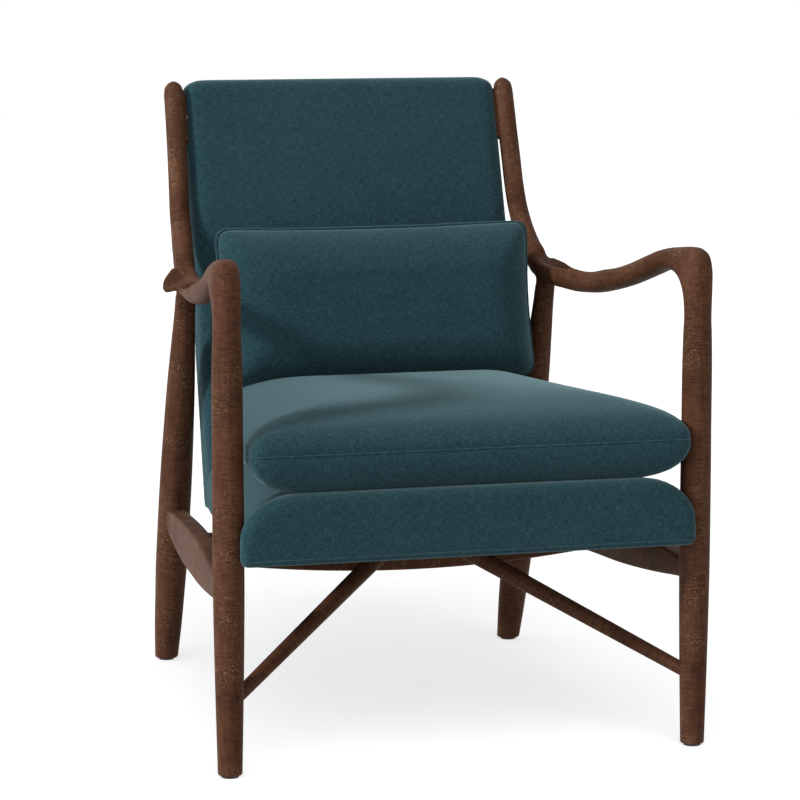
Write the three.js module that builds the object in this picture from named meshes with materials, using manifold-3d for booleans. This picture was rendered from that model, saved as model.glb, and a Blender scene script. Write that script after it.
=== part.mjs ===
// Fireside chair: a sculpted hardwood frame with an upholstered seat deck and back,
// a loose seat cushion and a loose lumbar cushion.
// Millimetres, +Z up, the front of the chair towards -Y. Depths are measured from the
// axis of the front legs, and the finished chair is then centred over its own footprint.
import * as THREE from 'three';
import { mergeVertices } from 'three/addons/utils/BufferGeometryUtils.js';
import Module from 'manifold-3d';

const wasm = await Module();
wasm.setup();

// Clearances
const seatGap = 0.3;
const slipFit = 0.2;
const overrun = 30;

// Stance of the frame
const frontLegOut = 305;
const rearLegOut = 258.5;
const rearFootBehindArm = 120;
const rearRakeShare = 0.311;

// Round legs
const glideHeight = 3;
const frontLegWidth = 39;
const frontLegShares = [
  [0, 0.77], [0.14, 0.86], [0.29, 0.945], [0.42, 0.995], [0.52, 1], [0.74, 0.975], [1, 0.925],
];
const rearLegWidth = 45.4;
const rearLegReachShare = 0.153;
const rearLegShares = [
  [0, 0.7], [0.09, 0.83], [0.19, 0.92], [0.25, 0.98], [0.36, 1], [0.46, 1], [0.64, 0.925],
  [0.76, 0.835], [0.85, 0.725], [0.93, 0.63], [1, 0.6],
];

// Armrests: side outline as shares of the reach back from the front leg and of the height
// from the low point under the arm to its crown
const armReach = 540;
const armLow = 547;
const armTop = 645;
const armHalfWidth = 17.5;
const armEndOut = 251.5;
// columns: top point depth and height, bottom point depth and height
const armSideShares = [
  [-0.033, 0.082, 0.033, 0.082], [-0.034, 0.337, 0.036, 0.235], [-0.036, 0.571, 0.044, 0.347],
  [-0.034, 0.775, 0.059, 0.449], [-0.022, 0.935, 0.078, 0.531], [0.004, 0.992, 0.096, 0.587],
  [0.037, 0.994, 0.119, 0.622], [0.074, 0.974, 0.141, 0.633], [0.115, 0.948, 0.167, 0.617],
  [0.178, 0.89, 0.207, 0.546], [0.259, 0.768, 0.278, 0.429], [0.352, 0.622, 0.363, 0.301],
  [0.444, 0.5, 0.45, 0.194], [0.537, 0.404, 0.537, 0.107], [0.62, 0.371, 0.62, 0.057],
  [0.704, 0.376, 0.704, 0.027], [0.778, 0.411, 0.778, 0.028], [0.843, 0.436, 0.843, 0.033],
  [0.89, 0.46, 0.898, 0.055], [0.925, 0.505, 0.943, 0.11], [0.953, 0.57, 0.98, 0.24],
  [0.981, 0.648, 1.019, 0.434],
];
// columns: plan position from leg to end, inner half width, outer half width, how far the
// outer half thins to a rim, how far that rim is lifted, and how round the section is
const armPlanShares = [
  [0, 1.03, 1.03, 0, 0, 1], [0, 1.03, 1.03, 0, 0, 0.94], [0, 1.03, 1.03, 0, 0, 0.86],
  [0, 1.03, 1.03, 0, 0, 0.8], [0.01, 1.03, 1.03, 0, 0, 0.8], [0.03, 1.02, 1.02, 0, 0, 0.82],
  [0.06, 1, 1, 0, 0, 0.86], [0.1, 0.98, 0.98, 0, 0, 0.9], [0.15, 0.95, 0.95, 0, 0, 0.95],
  [0.21, 0.92, 0.92, 0, 0, 1], [0.29, 0.9, 0.9, 0, 0, 1], [0.37, 0.88, 0.88, 0, 0.1, 1],
  [0.45, 0.87, 0.87, 0.1, 0.3, 1], [0.53, 0.86, 0.88, 0.3, 0.6, 1], [0.6, 0.85, 0.94, 0.6, 0.8, 1],
  [0.67, 0.85, 1.1, 0.85, 0.5, 1], [0.74, 0.85, 1.65, 0.92, -0.25, 1], [0.81, 0.86, 1.95, 0.92, -0.65, 1],
  [0.87, 0.87, 1.75, 0.9, -0.2, 1], [0.92, 0.86, 1.22, 0.5, 0.1, 1], [0.96, 0.85, 0.92, 0.1, 0, 1],
  [1, 0.83, 0.83, 0, 0, 1],
];

// Back posts: they rise from the rear end of the armrests
const postRise = 3;
const postLeanBack = 111;
const postDrawIn = 9.8;
const postHalfWidth = 14.6;
// columns: height, depth, inward travel, half width
const postShares = [
  [0, 0, 0, 1], [0.04, 0.1, 0.14, 0.98], [0.086, 0.194, 0.26, 0.96], [0.15, 0.305, 0.38, 0.945],
  [0.216, 0.405, 0.47, 0.935], [0.345, 0.523, 0.62, 0.925], [0.517, 0.64, 0.74, 0.92],
  [0.69, 0.766, 0.85, 0.92], [0.862, 0.892, 0.92, 0.91], [0.93, 0.945, 0.95, 0.9],
  [0.965, 0.972, 0.97, 0.8], [0.988, 0.989, 0.99, 0.5], [1, 1, 1, 0.14],
];

// Rails
const sideRailThickness = 26;
const sideRailMiddle = 227;
const sideRailTenonLength = 11;
const sideRailTenonHeight = 20;
const sideRailTenonThickness = 10;
const frontTenonShare = 0.06;
const rearTenonShare = -0.115;
// columns: place along the rail from leg axis to leg axis, top and bottom from the middle height
const sideRailHeight = 58;
const sideRailShares = [
  [0.0, 0.24, -0.12], [0.06, 0.32, -0.18], [0.14, 0.385, -0.275], [0.24, 0.44, -0.375],
  [0.36, 0.48, -0.465], [0.48, 0.475, -0.51], [0.6, 0.42, -0.55], [0.7, 0.36, -0.555],
  [0.8, 0.285, -0.52], [0.9, 0.205, -0.44], [1.0, 0.12, -0.35],
];
const crossRailThickness = 28;
const frontCrossRailBack = 236;
const frontCrossRailDepth = 54;
const rearCrossRailDepth = 36;
const frontCrossRailEndShare = 0.52;
const rearCrossRailEndShare = 0.86;
const crossRailTenonLength = 9;
const crossRailTenonHeight = 14;
const crossRailTenonThickness = 12;

// Diagonal stretchers from the front legs up to the front cross rail
const stretcherFootHeight = 92;
const stretcherHeadOut = 35;
const stretcherHeadDrop = 15;
const stretcherFootWidth = 17;
const stretcherHeadWidth = 23.5;
const stretcherTenonWidth = 11;
const stretcherTenonLength = 11;

// Dowels, pins and screws
const dowelWidth = 10;
const armDowelLength = 50;
const rearDowelLength = 30;
const postDowelLength = 36;
const dowelEndRoom = 1;
const backPinWidth = 8;
const backPinDrop = 47;
const backPinOffset = 5;
const backPinInPost = 6;
const backPinInStile = 20;
const screwWidth = 5;
const screwHeadWidth = 10;
const screwHeadHeight = 3;
const deckScrewLength = 38;
const deckScrewGrip = 12;
const rearScrewOut = 170;
const glideWidth = 22;
const glideNailWidth = 4;
const glideNailLength = 14;

// Seat deck
const deckTilt = THREE.MathUtils.degToRad(2.3);
const deckFront = -38;
const deckUnderside = 269;
const deckHeight = 89;
const deckLipRoom = 9;
const deckStepShares = [0.33, 0.66, 0.84];
const deckLipDepth = 16;
const deckLegRoom = 3.5;
const deckRearIn = 20.5;
const deckShoulderWidth = 76;
const deckShoulderHeight = 58;
const deckEdgeRadius = 10;
const coverThickness = 2;
const deckWeltWidth = 6;
const deckWeltRise = 5;
const deckFrameRise = 2;
const deckFrameThickness = 22;
const deckFrameSideRoom = 1.6;
const dustCoverThickness = 1.4;
const strapWidth = 60;
const strapThickness = 2;
const strapSpacing = 130;

// Upholstered back
const backSideRoom = 2.2;
const backFootSpread = 5;
const backHalfThickness = 30;
const backLineBehindPin = 13.9;
const backLowerLean = THREE.MathUtils.degToRad(15.6);
const backUpperLean = THREE.MathUtils.degToRad(19.3);
const backFootHeight = 254;
const backBendHeight = 560;
const backHeadHeight = 829;
const backCornerRadius = 17;
const backEdgeRadius = 11;
const backRearEdgeRadius = 4;
const backCrown = 5;
const backCrownStartShare = 0.34;
const backStepShares = [0.16, 0.32, 0.48, 0.64, 0.8];
const backFoamDepth = 34;
const backPadding = 10;
const stileWidth = 28;
const stileSideRoom = 2;
const backRailHeight = 52;
const backHeadRoom = 34;
const backFootRoom = 9;
const backPanelThickness = 4;
const backHemWidth = 12;
const backBoltLength = 66;
const backBoltDrop = 9;
const backBoltOut = 150;
const spacerHeight = 75;
const spacerDepth = 34;
const spacerReachShare = 0.64;

// Loose seat cushion
const cushionFront = -28;
const cushionRearReach = 24;
const cushionDrop = 47;
const cushionFrontSpread = 5;
const cushionRearSpread = 4;
const cushionCornerRadius = 16;
const cushionDrawIn = 4;
const cushionRise = 51;
const cushionZipHalfLength = 170;
const zipHeight = 5;
// columns: way in from the seam, and height
const cushionTopShares = [[0.04, 0.24], [0.16, 0.47], [0.39, 0.67], [0.63, 0.775], [0.94, 0.845]];
const cushionBottomShares = [[0.06, 0.26], [0.24, 0.51], [0.5, 0.7], [0.88, 0.87], [1.27, 1]];
// columns: share of the last ring above, and height
const cushionCrownShares = [[0.8, 0.92], [0.5, 0.985]];
const cushionFloorShares = [[0.5, 1]];

// Loose lumbar cushion
const lumbarHalfWidth = 219;
const lumbarHalfHeight = 104;
const lumbarCornerRadius = 25;
const lumbarDrawIn = 7;
const lumbarFrontBulge = 60;
const lumbarRearBulge = 85;
const lumbarAhead = 128.8;
const lumbarTilt = THREE.MathUtils.degToRad(11);
const lumbarWeltWidth = 5;
const lumbarZipHalfLength = 130;
const lumbarZipShare = 0.52;
const lumbarShares = [[0.01, 0.12], [0.05, 0.27], [0.14, 0.48], [0.3, 0.72], [0.5, 0.9]];
const lumbarCrownShares = [[0.6, 0.97], [0.3, 1]];

// How finely the curved faces are divided
const legSides = 16;
const armSides = 16;
const railSides = 12;
const rodSides = 12;
const screwSides = 8;
const weltSides = 6;
const cornerShares = [0, 0.5, 1];
const shoulderShares = [0, 0.25, 0.5, 0.75, 1];
const cushionCornerShares = [0, 0.33, 0.67, 1];
const cushionSideShares = [0.25, 0.5, 0.75];
const crossRailShares = [-1, -0.75, -0.5, -0.25, 0, 0.25, 0.5, 0.75, 1];
const railSquareness = 0.4;

const vec = (x, y, z) => new THREE.Vector3(x, y, z);
const mix = THREE.MathUtils.lerp;

// Signed volume of an indexed skin: positive when its faces point outwards
function skinVolume(positions, index) {
  const a = vec(0, 0, 0);
  const b = vec(0, 0, 0);
  const c = vec(0, 0, 0);
  let total = 0;
  for (let i = 0; i < index.length; i += 3) {
    a.fromArray(positions, 3 * index[i]);
    b.fromArray(positions, 3 * index[i + 1]);
    c.fromArray(positions, 3 * index[i + 2]);
    total += a.dot(b.cross(c));
  }
  return total;
}

function geometryFrom(positions, index) {
  if (skinVolume(positions, index) < 0) {
    for (let i = 0; i < index.length; i += 3) {
      [index[i], index[i + 1]] = [index[i + 1], index[i]];
    }
  }
  const geometry = new THREE.BufferGeometry();
  geometry.setAttribute('position', new THREE.Float32BufferAttribute(positions, 3));
  geometry.setIndex(index);
  return geometry;
}

// A closed skin through rings of points: a fan closes each end, or the last ring
// joins the first one
function skinRings(rings, closed = false) {
  const count = rings[0].length;
  const positions = rings.flat().flatMap((point) => point.toArray());
  const index = [];
  const last = closed ? rings.length : rings.length - 1;
  for (let r = 0; r < last; r += 1) {
    const here = r * count;
    const there = ((r + 1) % rings.length) * count;
    for (let i = 0; i < count; i += 1) {
      const next = (i + 1) % count;
      index.push(here + i, here + next, there + next);
      index.push(here + i, there + next, there + i);
    }
  }
  if (!closed) {
    for (const r of [0, rings.length - 1]) {
      const middle = rings[r].reduce((sum, point) => sum.add(point), vec(0, 0, 0));
      middle.divideScalar(count);
      const hub = positions.length / 3;
      positions.push(...middle.toArray());
      for (let i = 0; i < count; i += 1) {
        const next = (i + 1) % count;
        const fan = [hub, r * count + next, r * count + i];
        index.push(...(r === 0 ? fan : fan.reverse()));
      }
    }
  }
  return geometryFrom(positions, index);
}

// One ring of points: an ellipse, or a squarer shape where squareness is below 1
function ovalRing(centre, across, up, sides, squareness = 1) {
  return Array.from({ length: sides }, (_, i) => {
    const angle = (2 * Math.PI * (i + 0.5)) / sides;
    const c = Math.cos(angle);
    const s = Math.sin(angle);
    const x = Math.sign(c) * Math.abs(c) ** squareness;
    const y = Math.sign(s) * Math.abs(s) ** squareness;
    return centre.clone().addScaledVector(across, x).addScaledVector(up, y);
  });
}

function solidOf(geometry) {
  const bare = geometry.clone();
  bare.deleteAttribute('normal');
  bare.deleteAttribute('uv');
  const merged = mergeVertices(bare);
  return new wasm.Manifold(new wasm.Mesh({
    numProp: 3,
    vertProperties: new Float32Array(merged.attributes.position.array),
    triVerts: new Uint32Array(merged.index.array),
  }));
}

function geometryOf(solid) {
  const mesh = solid.getMesh();
  return geometryFrom(Array.from(mesh.vertProperties), Array.from(mesh.triVerts));
}

function cut(body, ...cutters) {
  return cutters.reduce((left, cutter) => left.subtract(cutter), body);
}

function mirrored(solid) {
  const { attributes, index } = geometryOf(solid).scale(-1, 1, 1);
  return solidOf(geometryFrom(Array.from(attributes.position.array), Array.from(index.array)));
}

const bothSides = (solid) => [solid, mirrored(solid)];

function boxBetween(low, high) {
  const size = high.clone().sub(low);
  const middle = high.clone().add(low).multiplyScalar(0.5);
  const geometry = new THREE.BoxGeometry(size.x, size.y, size.z);
  return geometry.translate(middle.x, middle.y, middle.z);
}

// A round bar from one point to another
function rodBetween(from, to, radius, sides = rodSides) {
  const along = to.clone().sub(from);
  const geometry = new THREE.CylinderGeometry(radius, radius, along.length(), sides);
  geometry.applyQuaternion(
    new THREE.Quaternion().setFromUnitVectors(vec(0, 1, 0), along.clone().normalize()),
  );
  const middle = from.clone().add(to).multiplyScalar(0.5);
  return solidOf(geometry.translate(middle.x, middle.y, middle.z));
}

// A bar that reaches the given distance to each side of a point
function rodAt(point, along, reach, radius) {
  return rodBetween(
    point.clone().addScaledVector(along, -reach),
    point.clone().addScaledVector(along, reach),
    radius,
  );
}

const innerWall = coverThickness + seatGap;
const upWay = vec(0, 0, 1);
const backWay = vec(0, 1, 0);

// Legs: the front ones reach up to the underside of the armrest's first section

const frontLegTop = mix(armLow, armTop, armSideShares[0][1]) - seatGap;
const rearFootBack = armReach + rearFootBehindArm;
const frontAxis = (z) => vec(frontLegOut, 0, z);
const rearAxis = (z) => vec(rearLegOut, rearFootBack - rearRakeShare * z, z);
const rearDirection = vec(0, -rearRakeShare, 1).normalize();

function legLoft(axis, top, width, shares, growth) {
  const rings = shares.map(([rise, thickness]) => {
    const z = mix(glideHeight, top, rise);
    const radius = 0.5 * width * thickness + growth;
    return ovalRing(axis(z), vec(radius, 0, 0), vec(0, radius, 0), legSides);
  });
  return solidOf(skinRings(rings));
}

const frontLegBody = (growth) => legLoft(frontAxis, frontLegTop, frontLegWidth, frontLegShares, growth);
const rearLegTop = mix(armLow, armTop, rearLegReachShare);
const rearLegBody = (growth) => legLoft(rearAxis, rearLegTop, rearLegWidth, rearLegShares, growth);

// The glide is a disc with a nail that is driven up into the leg
function glideBody(foot) {
  const at = (z) => vec(foot.x, foot.y, z);
  const disc = rodBetween(at(0), at(glideHeight), 0.5 * glideWidth, legSides);
  return disc.add(rodBetween(at(0), at(glideHeight + glideNailLength), 0.5 * glideNailWidth));
}

function glideHole(foot) {
  const at = (z) => vec(foot.x, foot.y, z);
  const top = glideHeight + glideNailLength + dowelEndRoom;
  return rodBetween(at(-overrun), at(top), 0.5 * glideNailWidth + slipFit);
}

// Armrests

const armPoint = (depth, height) => vec(0, depth * armReach, mix(armLow, armTop, height));

function armRings(growth) {
  return armSideShares.map(([topBack, topRise, lowBack, lowRise], i) => {
    const [plan, inner, outer, pinch, lift, roundness] = armPlanShares[i];
    const top = armPoint(topBack, topRise);
    const low = armPoint(lowBack, lowRise);
    const middle = top.clone().add(low).multiplyScalar(0.5);
    middle.x = mix(frontLegOut, armEndOut, plan);
    const up = top.sub(low).multiplyScalar(0.5);
    up.setLength(up.length() + growth);
    return Array.from({ length: armSides }, (_, k) => {
      const angle = (2 * Math.PI * k) / armSides;
      const c = Math.sign(Math.cos(angle)) * Math.abs(Math.cos(angle)) ** roundness;
      const s = Math.sign(Math.sin(angle)) * Math.abs(Math.sin(angle)) ** roundness;
      const side = armHalfWidth * (c > 0 ? outer : inner) + growth;
      const rim = Math.max(c, 0);
      const above = s * (1 - pinch * rim);
      const below = mix(s, -((1 - rim) ** 2), rim > 0 ? pinch : 0);
      return middle.clone().addScaledVector(vec(side, 0, 0), c)
        .addScaledVector(up, (s > 0 ? above : below) + lift * rim * rim);
    });
  });
}

const armBody = (growth) => solidOf(skinRings(armRings(growth)));

// Where the post stands on the armrest, and the way it points there
const [endTopBack, endTopRise, endLowBack, endLowRise] = armSideShares.at(-1);
const armEndTop = armPoint(endTopBack, endTopRise);
const armEndLow = armPoint(endLowBack, endLowRise);
const armEnd = armEndTop.clone().add(armEndLow).multiplyScalar(0.5).setX(armEndOut);
const armEndWay = vec(0, armEndTop.z - armEndLow.z, armEndLow.y - armEndTop.y).normalize();

// Back posts

function postAxis([rise, back, inward]) {
  return vec(
    armEnd.x - postDrawIn * inward,
    armEnd.y + postLeanBack * back,
    mix(armEnd.z, backHeadHeight + postRise, rise),
  );
}

function postBody(growth) {
  const centres = postShares.map(postAxis);
  const rings = postShares.map((share, i) => {
    const before = centres[Math.max(i - 1, 0)];
    const after = centres[Math.min(i + 1, centres.length - 1)];
    const way = i === 0 ? armEndWay : after.clone().sub(before).normalize();
    const radius = postHalfWidth * share[3] + growth;
    const across = vec(1, 0, 0).multiplyScalar(radius);
    const up = vec(0, -way.z, way.y).normalize().multiplyScalar(radius);
    const centre = centres[i].clone();
    if (i === 0) centre.addScaledVector(way, seatGap);
    return ovalRing(centre, across, up, armSides);
  });
  return solidOf(skinRings(rings));
}

// Depth and outward place of the post at a height
function postPlaceAt(z) {
  const centres = postShares.map(postAxis);
  const above = centres.findIndex((centre) => centre.z > z);
  const low = centres[above - 1];
  const high = centres[above];
  return low.clone().lerp(high, (z - low.z) / (high.z - low.z));
}

// Side rails, from leg axis to leg axis

const railFoot = frontAxis(sideRailMiddle);
const railHead = rearAxis(sideRailMiddle);
const railWay = railHead.clone().sub(railFoot).normalize();
const railAcross = vec(railWay.y, -railWay.x, 0).normalize();

function sideRailBody(growth) {
  const rings = sideRailShares.map(([along, top, bottom]) => {
    const high = sideRailMiddle + sideRailHeight * top + growth;
    const low = sideRailMiddle + sideRailHeight * bottom - growth;
    const centre = railFoot.clone().lerp(railHead, along).setZ(mix(low, high, 0.5));
    const across = railAcross.clone().multiplyScalar(0.5 * sideRailThickness + growth);
    return ovalRing(centre, across, vec(0, 0, 0.5 * (high - low)), railSides, railSquareness);
  });
  return solidOf(skinRings(rings));
}

// A squared tenon that enters a round leg, half of it in the rail
function railTenon(end, way, height, legWidth, growth) {
  const centre = end.clone().setZ(height).addScaledVector(way, 0.5 * legWidth);
  const size = [sideRailTenonThickness, 2 * sideRailTenonLength, sideRailTenonHeight];
  const geometry = new THREE.BoxGeometry(...size.map((length) => length + 2 * growth));
  geometry.rotateZ(-Math.atan2(way.x, way.y));
  return solidOf(geometry.translate(centre.x, centre.y, centre.z));
}

const frontTenonHeight = sideRailMiddle + sideRailHeight * frontTenonShare;
const rearTenonHeight = sideRailMiddle + sideRailHeight * rearTenonShare;
const railFrontTenon = (growth) => railTenon(railFoot, railWay, frontTenonHeight, frontLegWidth, growth);
const railRearTenon = (growth) => railTenon(
  railHead, railWay.clone().negate(), rearTenonHeight, rearLegWidth, growth,
);

// Middle line of the back: it passes the pin at its head, and its front face stands against
// the rear edge of the deck, whose depth follows from it

const backPinHeight = backHeadHeight - backPinDrop;
const postPinPlace = postPlaceAt(backPinHeight);
const backHeadHalfWidth = postPinPlace.x - postHalfWidth - backSideRoom;
const backFootHalfWidth = backHeadHalfWidth + backFootSpread;
const leanWay = (lean) => vec(0, Math.sin(lean), Math.cos(lean));
const riseTo = (point, way, height) => point.clone().addScaledVector(way, (height - point.z) / way.z);
const lowerWay = leanWay(backLowerLean);
const upperWay = leanWay(backUpperLean);
const backAtPin = vec(0, postPinPlace.y + backPinOffset + backLineBehindPin, backPinHeight);
const backHead = riseTo(backAtPin, upperWay, backHeadHeight);
const backBend = riseTo(backAtPin, upperWay, backBendHeight);
const backFoot = riseTo(backBend, lowerWay, backFootHeight);
const aheadOfBack = vec(0, -lowerWay.z, lowerWay.y).multiplyScalar(backHalfThickness + seatGap);
const deckOrigin = vec(0, deckFront, deckUnderside);
const deckWay = vec(0, Math.cos(deckTilt), -Math.sin(deckTilt));
const deckToBack = backFoot.clone().add(aheadOfBack).sub(deckOrigin);
const crossOf = (a, b) => a.y * b.z - a.z * b.y;
const deckDepth = crossOf(deckToBack, lowerWay) / crossOf(deckWay, lowerWay);

// Cross rails, which bow down towards the middle, under the floor of the seat deck

const deckFloorAt = (y) => deckUnderside - (y - deckFront) * Math.tan(deckTilt);
const rearPlankMiddle = deckDepth - innerWall - 0.5 * deckFrameThickness;
const rearCrossRailBack = deckFront + rearPlankMiddle * Math.cos(deckTilt);
const frontCross = {
  back: frontCrossRailBack,
  depth: frontCrossRailDepth,
  endShare: frontCrossRailEndShare,
};
const rearCross = {
  back: rearCrossRailBack,
  depth: rearCrossRailDepth,
  endShare: rearCrossRailEndShare,
};

const crossRailTop = ({ back }) => deckFloorAt(back + 0.5 * crossRailThickness) - seatGap;
const crossRailHeightAt = ({ depth, endShare }, step) => depth * (1 - (1 - endShare) * step * step);

function crossRailBody(rail) {
  return solidOf(skinRings(crossRailShares.map((step) => {
    const half = 0.5 * crossRailHeightAt(rail, step);
    const centre = vec(frontLegOut * step, rail.back, crossRailTop(rail) - half);
    const across = vec(0, 0.5 * crossRailThickness, 0);
    return ovalRing(centre, across, vec(0, 0, half), railSides, railSquareness);
  })));
}

// Inner face of a side rail at a depth
const railInnerAt = (y) => railFoot.x + (y * railWay.x - 0.5 * sideRailThickness) / railWay.y;

function crossTenon(rail, growth) {
  const face = railInnerAt(rail.back);
  const middle = crossRailTop(rail) - 0.5 * crossRailHeightAt(rail, face / frontLegOut);
  const halfHeight = 0.5 * crossRailTenonHeight + growth;
  const halfThick = 0.5 * crossRailTenonThickness + growth;
  return solidOf(boxBetween(
    vec(face - crossRailTenonLength, rail.back - halfThick, middle - halfHeight),
    vec(face + crossRailTenonLength + growth, rail.back + halfThick, middle + halfHeight),
  ));
}

function crossRail(rail) {
  const innerAt = (y) => railInnerAt(y) - seatGap;
  const front = -overrun;
  const rear = rearFootBack;
  const outside = solidOf(skinRings([0, frontLegTop].map((z) => [
    vec(innerAt(front), front, z), vec(frontLegOut + overrun, front, z),
    vec(frontLegOut + overrun, rear, z), vec(innerAt(rear), rear, z),
  ])));
  const body = cut(crossRailBody(rail), ...bothSides(outside));
  const [right, left] = bothSides(crossTenon(rail, 0));
  return body.add(right).add(left);
}

// Stretchers

const stretcherFoot = frontAxis(stretcherFootHeight);
const crossRailFace = frontCrossRailBack - 0.5 * crossRailThickness;
const stretcherHead = vec(
  stretcherHeadOut,
  crossRailFace,
  deckFloorAt(crossRailFace) - stretcherHeadDrop,
);
const stretcherWay = stretcherHead.clone().sub(stretcherFoot).normalize();

function stretcherTenonRod(point, inward, growth) {
  const from = point.clone().addScaledVector(inward, -stretcherTenonLength);
  const to = point.clone().addScaledVector(inward, stretcherTenonLength + growth);
  return rodBetween(from, to, 0.5 * stretcherTenonWidth + growth);
}

const legSkinPoint = stretcherFoot.clone().addScaledVector(stretcherWay, 0.45 * frontLegWidth);
const footTenon = (growth) => stretcherTenonRod(legSkinPoint, stretcherWay.clone().negate(), growth);
const headTenon = (growth) => stretcherTenonRod(stretcherHead, stretcherWay, growth);

function stretcher() {
  const upOfRod = vec(0, 0, 1).addScaledVector(stretcherWay, -stretcherWay.z).normalize();
  const acrossRod = stretcherWay.clone().cross(upOfRod);
  const end = stretcherHead.clone().addScaledVector(stretcherWay, crossRailThickness);
  const rings = [0, 1].map((share) => {
    const radius = 0.5 * mix(stretcherFootWidth, stretcherHeadWidth, share);
    const centre = stretcherFoot.clone().lerp(end, share);
    const across = acrossRod.clone().multiplyScalar(radius);
    return ovalRing(centre, across, upOfRod.clone().multiplyScalar(radius), rodSides);
  });
  const beyond = solidOf(boxBetween(
    vec(-frontLegOut, crossRailFace - seatGap, 0),
    vec(frontLegOut, crossRailFace + frontLegOut, frontLegTop),
  ));
  const body = cut(solidOf(skinRings(rings)), frontLegBody(seatGap), beyond);
  return body.add(footTenon(0)).add(headTenon(0));
}

// Outer half of the frame, built for the right-hand side

const legJoint = frontAxis(frontLegTop);
const rearJoint = rearAxis(armLow);

const dowelHole = (point, way, length) => rodAt(
  point, way, 0.5 * length + dowelEndRoom, 0.5 * dowelWidth + slipFit,
);
const dowelBody = (point, way, length) => rodAt(point, way, 0.5 * length, 0.5 * dowelWidth);
const armFrontDowelHole = dowelHole(legJoint, upWay, armDowelLength);
const armRearDowelHole = dowelHole(rearJoint, rearDirection, rearDowelLength);
const postDowelHole = dowelHole(armEnd, armEndWay, postDowelLength);

// The pin runs level from the post, through the spacer, into the frame of the back
const pinLine = vec(0, postPinPlace.y + backPinOffset, backPinHeight);
const pinFrom = postPinPlace.x + backPinInPost;
const pinTo = backHeadHalfWidth - coverThickness - backPinInStile;
const pinBetween = (from, to, radius) => rodBetween(
  pinLine.clone().setX(from), pinLine.clone().setX(to), radius,
);
const pinBody = pinBetween(pinFrom, pinTo, 0.5 * backPinWidth);
const pinHole = pinBetween(pinFrom + dowelEndRoom, pinTo - dowelEndRoom, 0.5 * backPinWidth + slipFit);

const frontLeg = cut(
  frontLegBody(0), glideHole(frontAxis(0)), armFrontDowelHole,
  railFrontTenon(slipFit), footTenon(slipFit),
);
const rearLeg = cut(
  rearLegBody(0), armBody(seatGap), glideHole(rearAxis(glideHeight)),
  armRearDowelHole, railRearTenon(slipFit),
);
const armrest = cut(armBody(0), armFrontDowelHole, armRearDowelHole, postDowelHole);
const backPost = cut(postBody(0), postDowelHole, pinHole);
const sideRail = cut(
  cut(sideRailBody(0), frontLegBody(seatGap), rearLegBody(seatGap))
    .add(railFrontTenon(0)).add(railRearTenon(0)),
  crossTenon(frontCross, slipFit), crossTenon(rearCross, slipFit),
);

// Seat deck, in its own tilted frame: +Y towards the back, +Z up from its underside

const deckGroup = new THREE.Group();
deckGroup.position.copy(deckOrigin);
deckGroup.rotation.x = -deckTilt;
deckGroup.updateMatrix();

const deckLipHalfWidth = frontLegOut - deckLipRoom;
const deckFrontHalfWidth = frontLegOut - 0.5 * frontLegWidth - deckLegRoom;
const deckRearHalfWidth = rearLegOut - deckRearIn;
const deckToWorld = (solid) => solidOf(geometryOf(solid).applyMatrix4(deckGroup.matrix));
const deckHalfWidthAt = (y) => mix(deckFrontHalfWidth, deckRearHalfWidth, y / deckDepth);

// The rear face of the deck leans with the back that it carries
const deckRearLean = deckHeight * Math.tan(backLowerLean - deckTilt);

// One cross-section of the deck, drawn in by an inset and shrunk by a wall
function deckSection(y, inset, wide, shrink, floor) {
  const half = (wide ? deckLipHalfWidth - 0.5 * inset : deckHalfWidthAt(y)) - shrink;
  const top = deckHeight - inset - shrink;
  const wideTurn = deckShoulderWidth - shrink;
  const highTurn = deckShoulderHeight - shrink;
  const lean = deckRearLean * (y / deckDepth) ** 4;
  const turn = shoulderShares.map((share) => {
    const angle = 0.5 * Math.PI * share;
    return [half + wideTurn * (Math.cos(angle) - 1), top + highTurn * (Math.sin(angle) - 1)];
  });
  const right = [[half, floor], ...turn];
  const left = right.map(([x, z]) => [-x, z]).reverse();
  return [...right, ...left].map(([x, z]) => vec(x, y + lean * (z / deckHeight), z));
}

function deckBody(shrink, floor) {
  const lipBack = deckLipDepth - shrink;
  const stations = [
    [shrink, deckEdgeRadius, true], [0.3 * deckEdgeRadius, 0.3 * deckEdgeRadius, true],
    [deckEdgeRadius, 0, true], [lipBack, 0, true], [lipBack + seatGap, 0, false],
    ...deckStepShares.map((share) => [share * deckDepth, 0, false]), [deckDepth - shrink, 0, false],
  ];
  return solidOf(skinRings(stations.map(
    ([y, inset, wide]) => deckSection(y, inset, wide, shrink, floor),
  )));
}

const boxSolid = (low, high) => solidOf(boxBetween(low, high));

// A flat board that follows the taper of the deck: its ends are given from the middle line,
// as functions of depth
function deckBoard(front, rear, leftAt, rightAt, low, high) {
  const corners = [[leftAt, front], [rightAt, front], [rightAt, rear], [leftAt, rear]];
  return solidOf(skinRings([low, high].map((z) => corners.map(([at, y]) => vec(at(y), y, z)))));
}

const deckFrameLow = dustCoverThickness + 2 * seatGap;
const deckFrameTop = deckFrameLow + deckHeight - deckShoulderHeight + deckFrameRise;
const strapLow = deckFrameTop + seatGap;
const strapHigh = strapLow + strapThickness;
const deckInnerRear = deckDepth - innerWall;
const frontPlankBack = deckLipDepth + deckFrameThickness;
const rearPlankFront = deckInnerRear - deckFrameThickness;
const plankEndAt = (y) => deckHalfWidthAt(y) - innerWall - deckFrameSideRoom;

// A board across the whole deck between two depths
const deckCrossBoard = (front, rear, low, high) => deckBoard(
  front, rear, (y) => -plankEndAt(y), plankEndAt, low, high,
);

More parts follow.
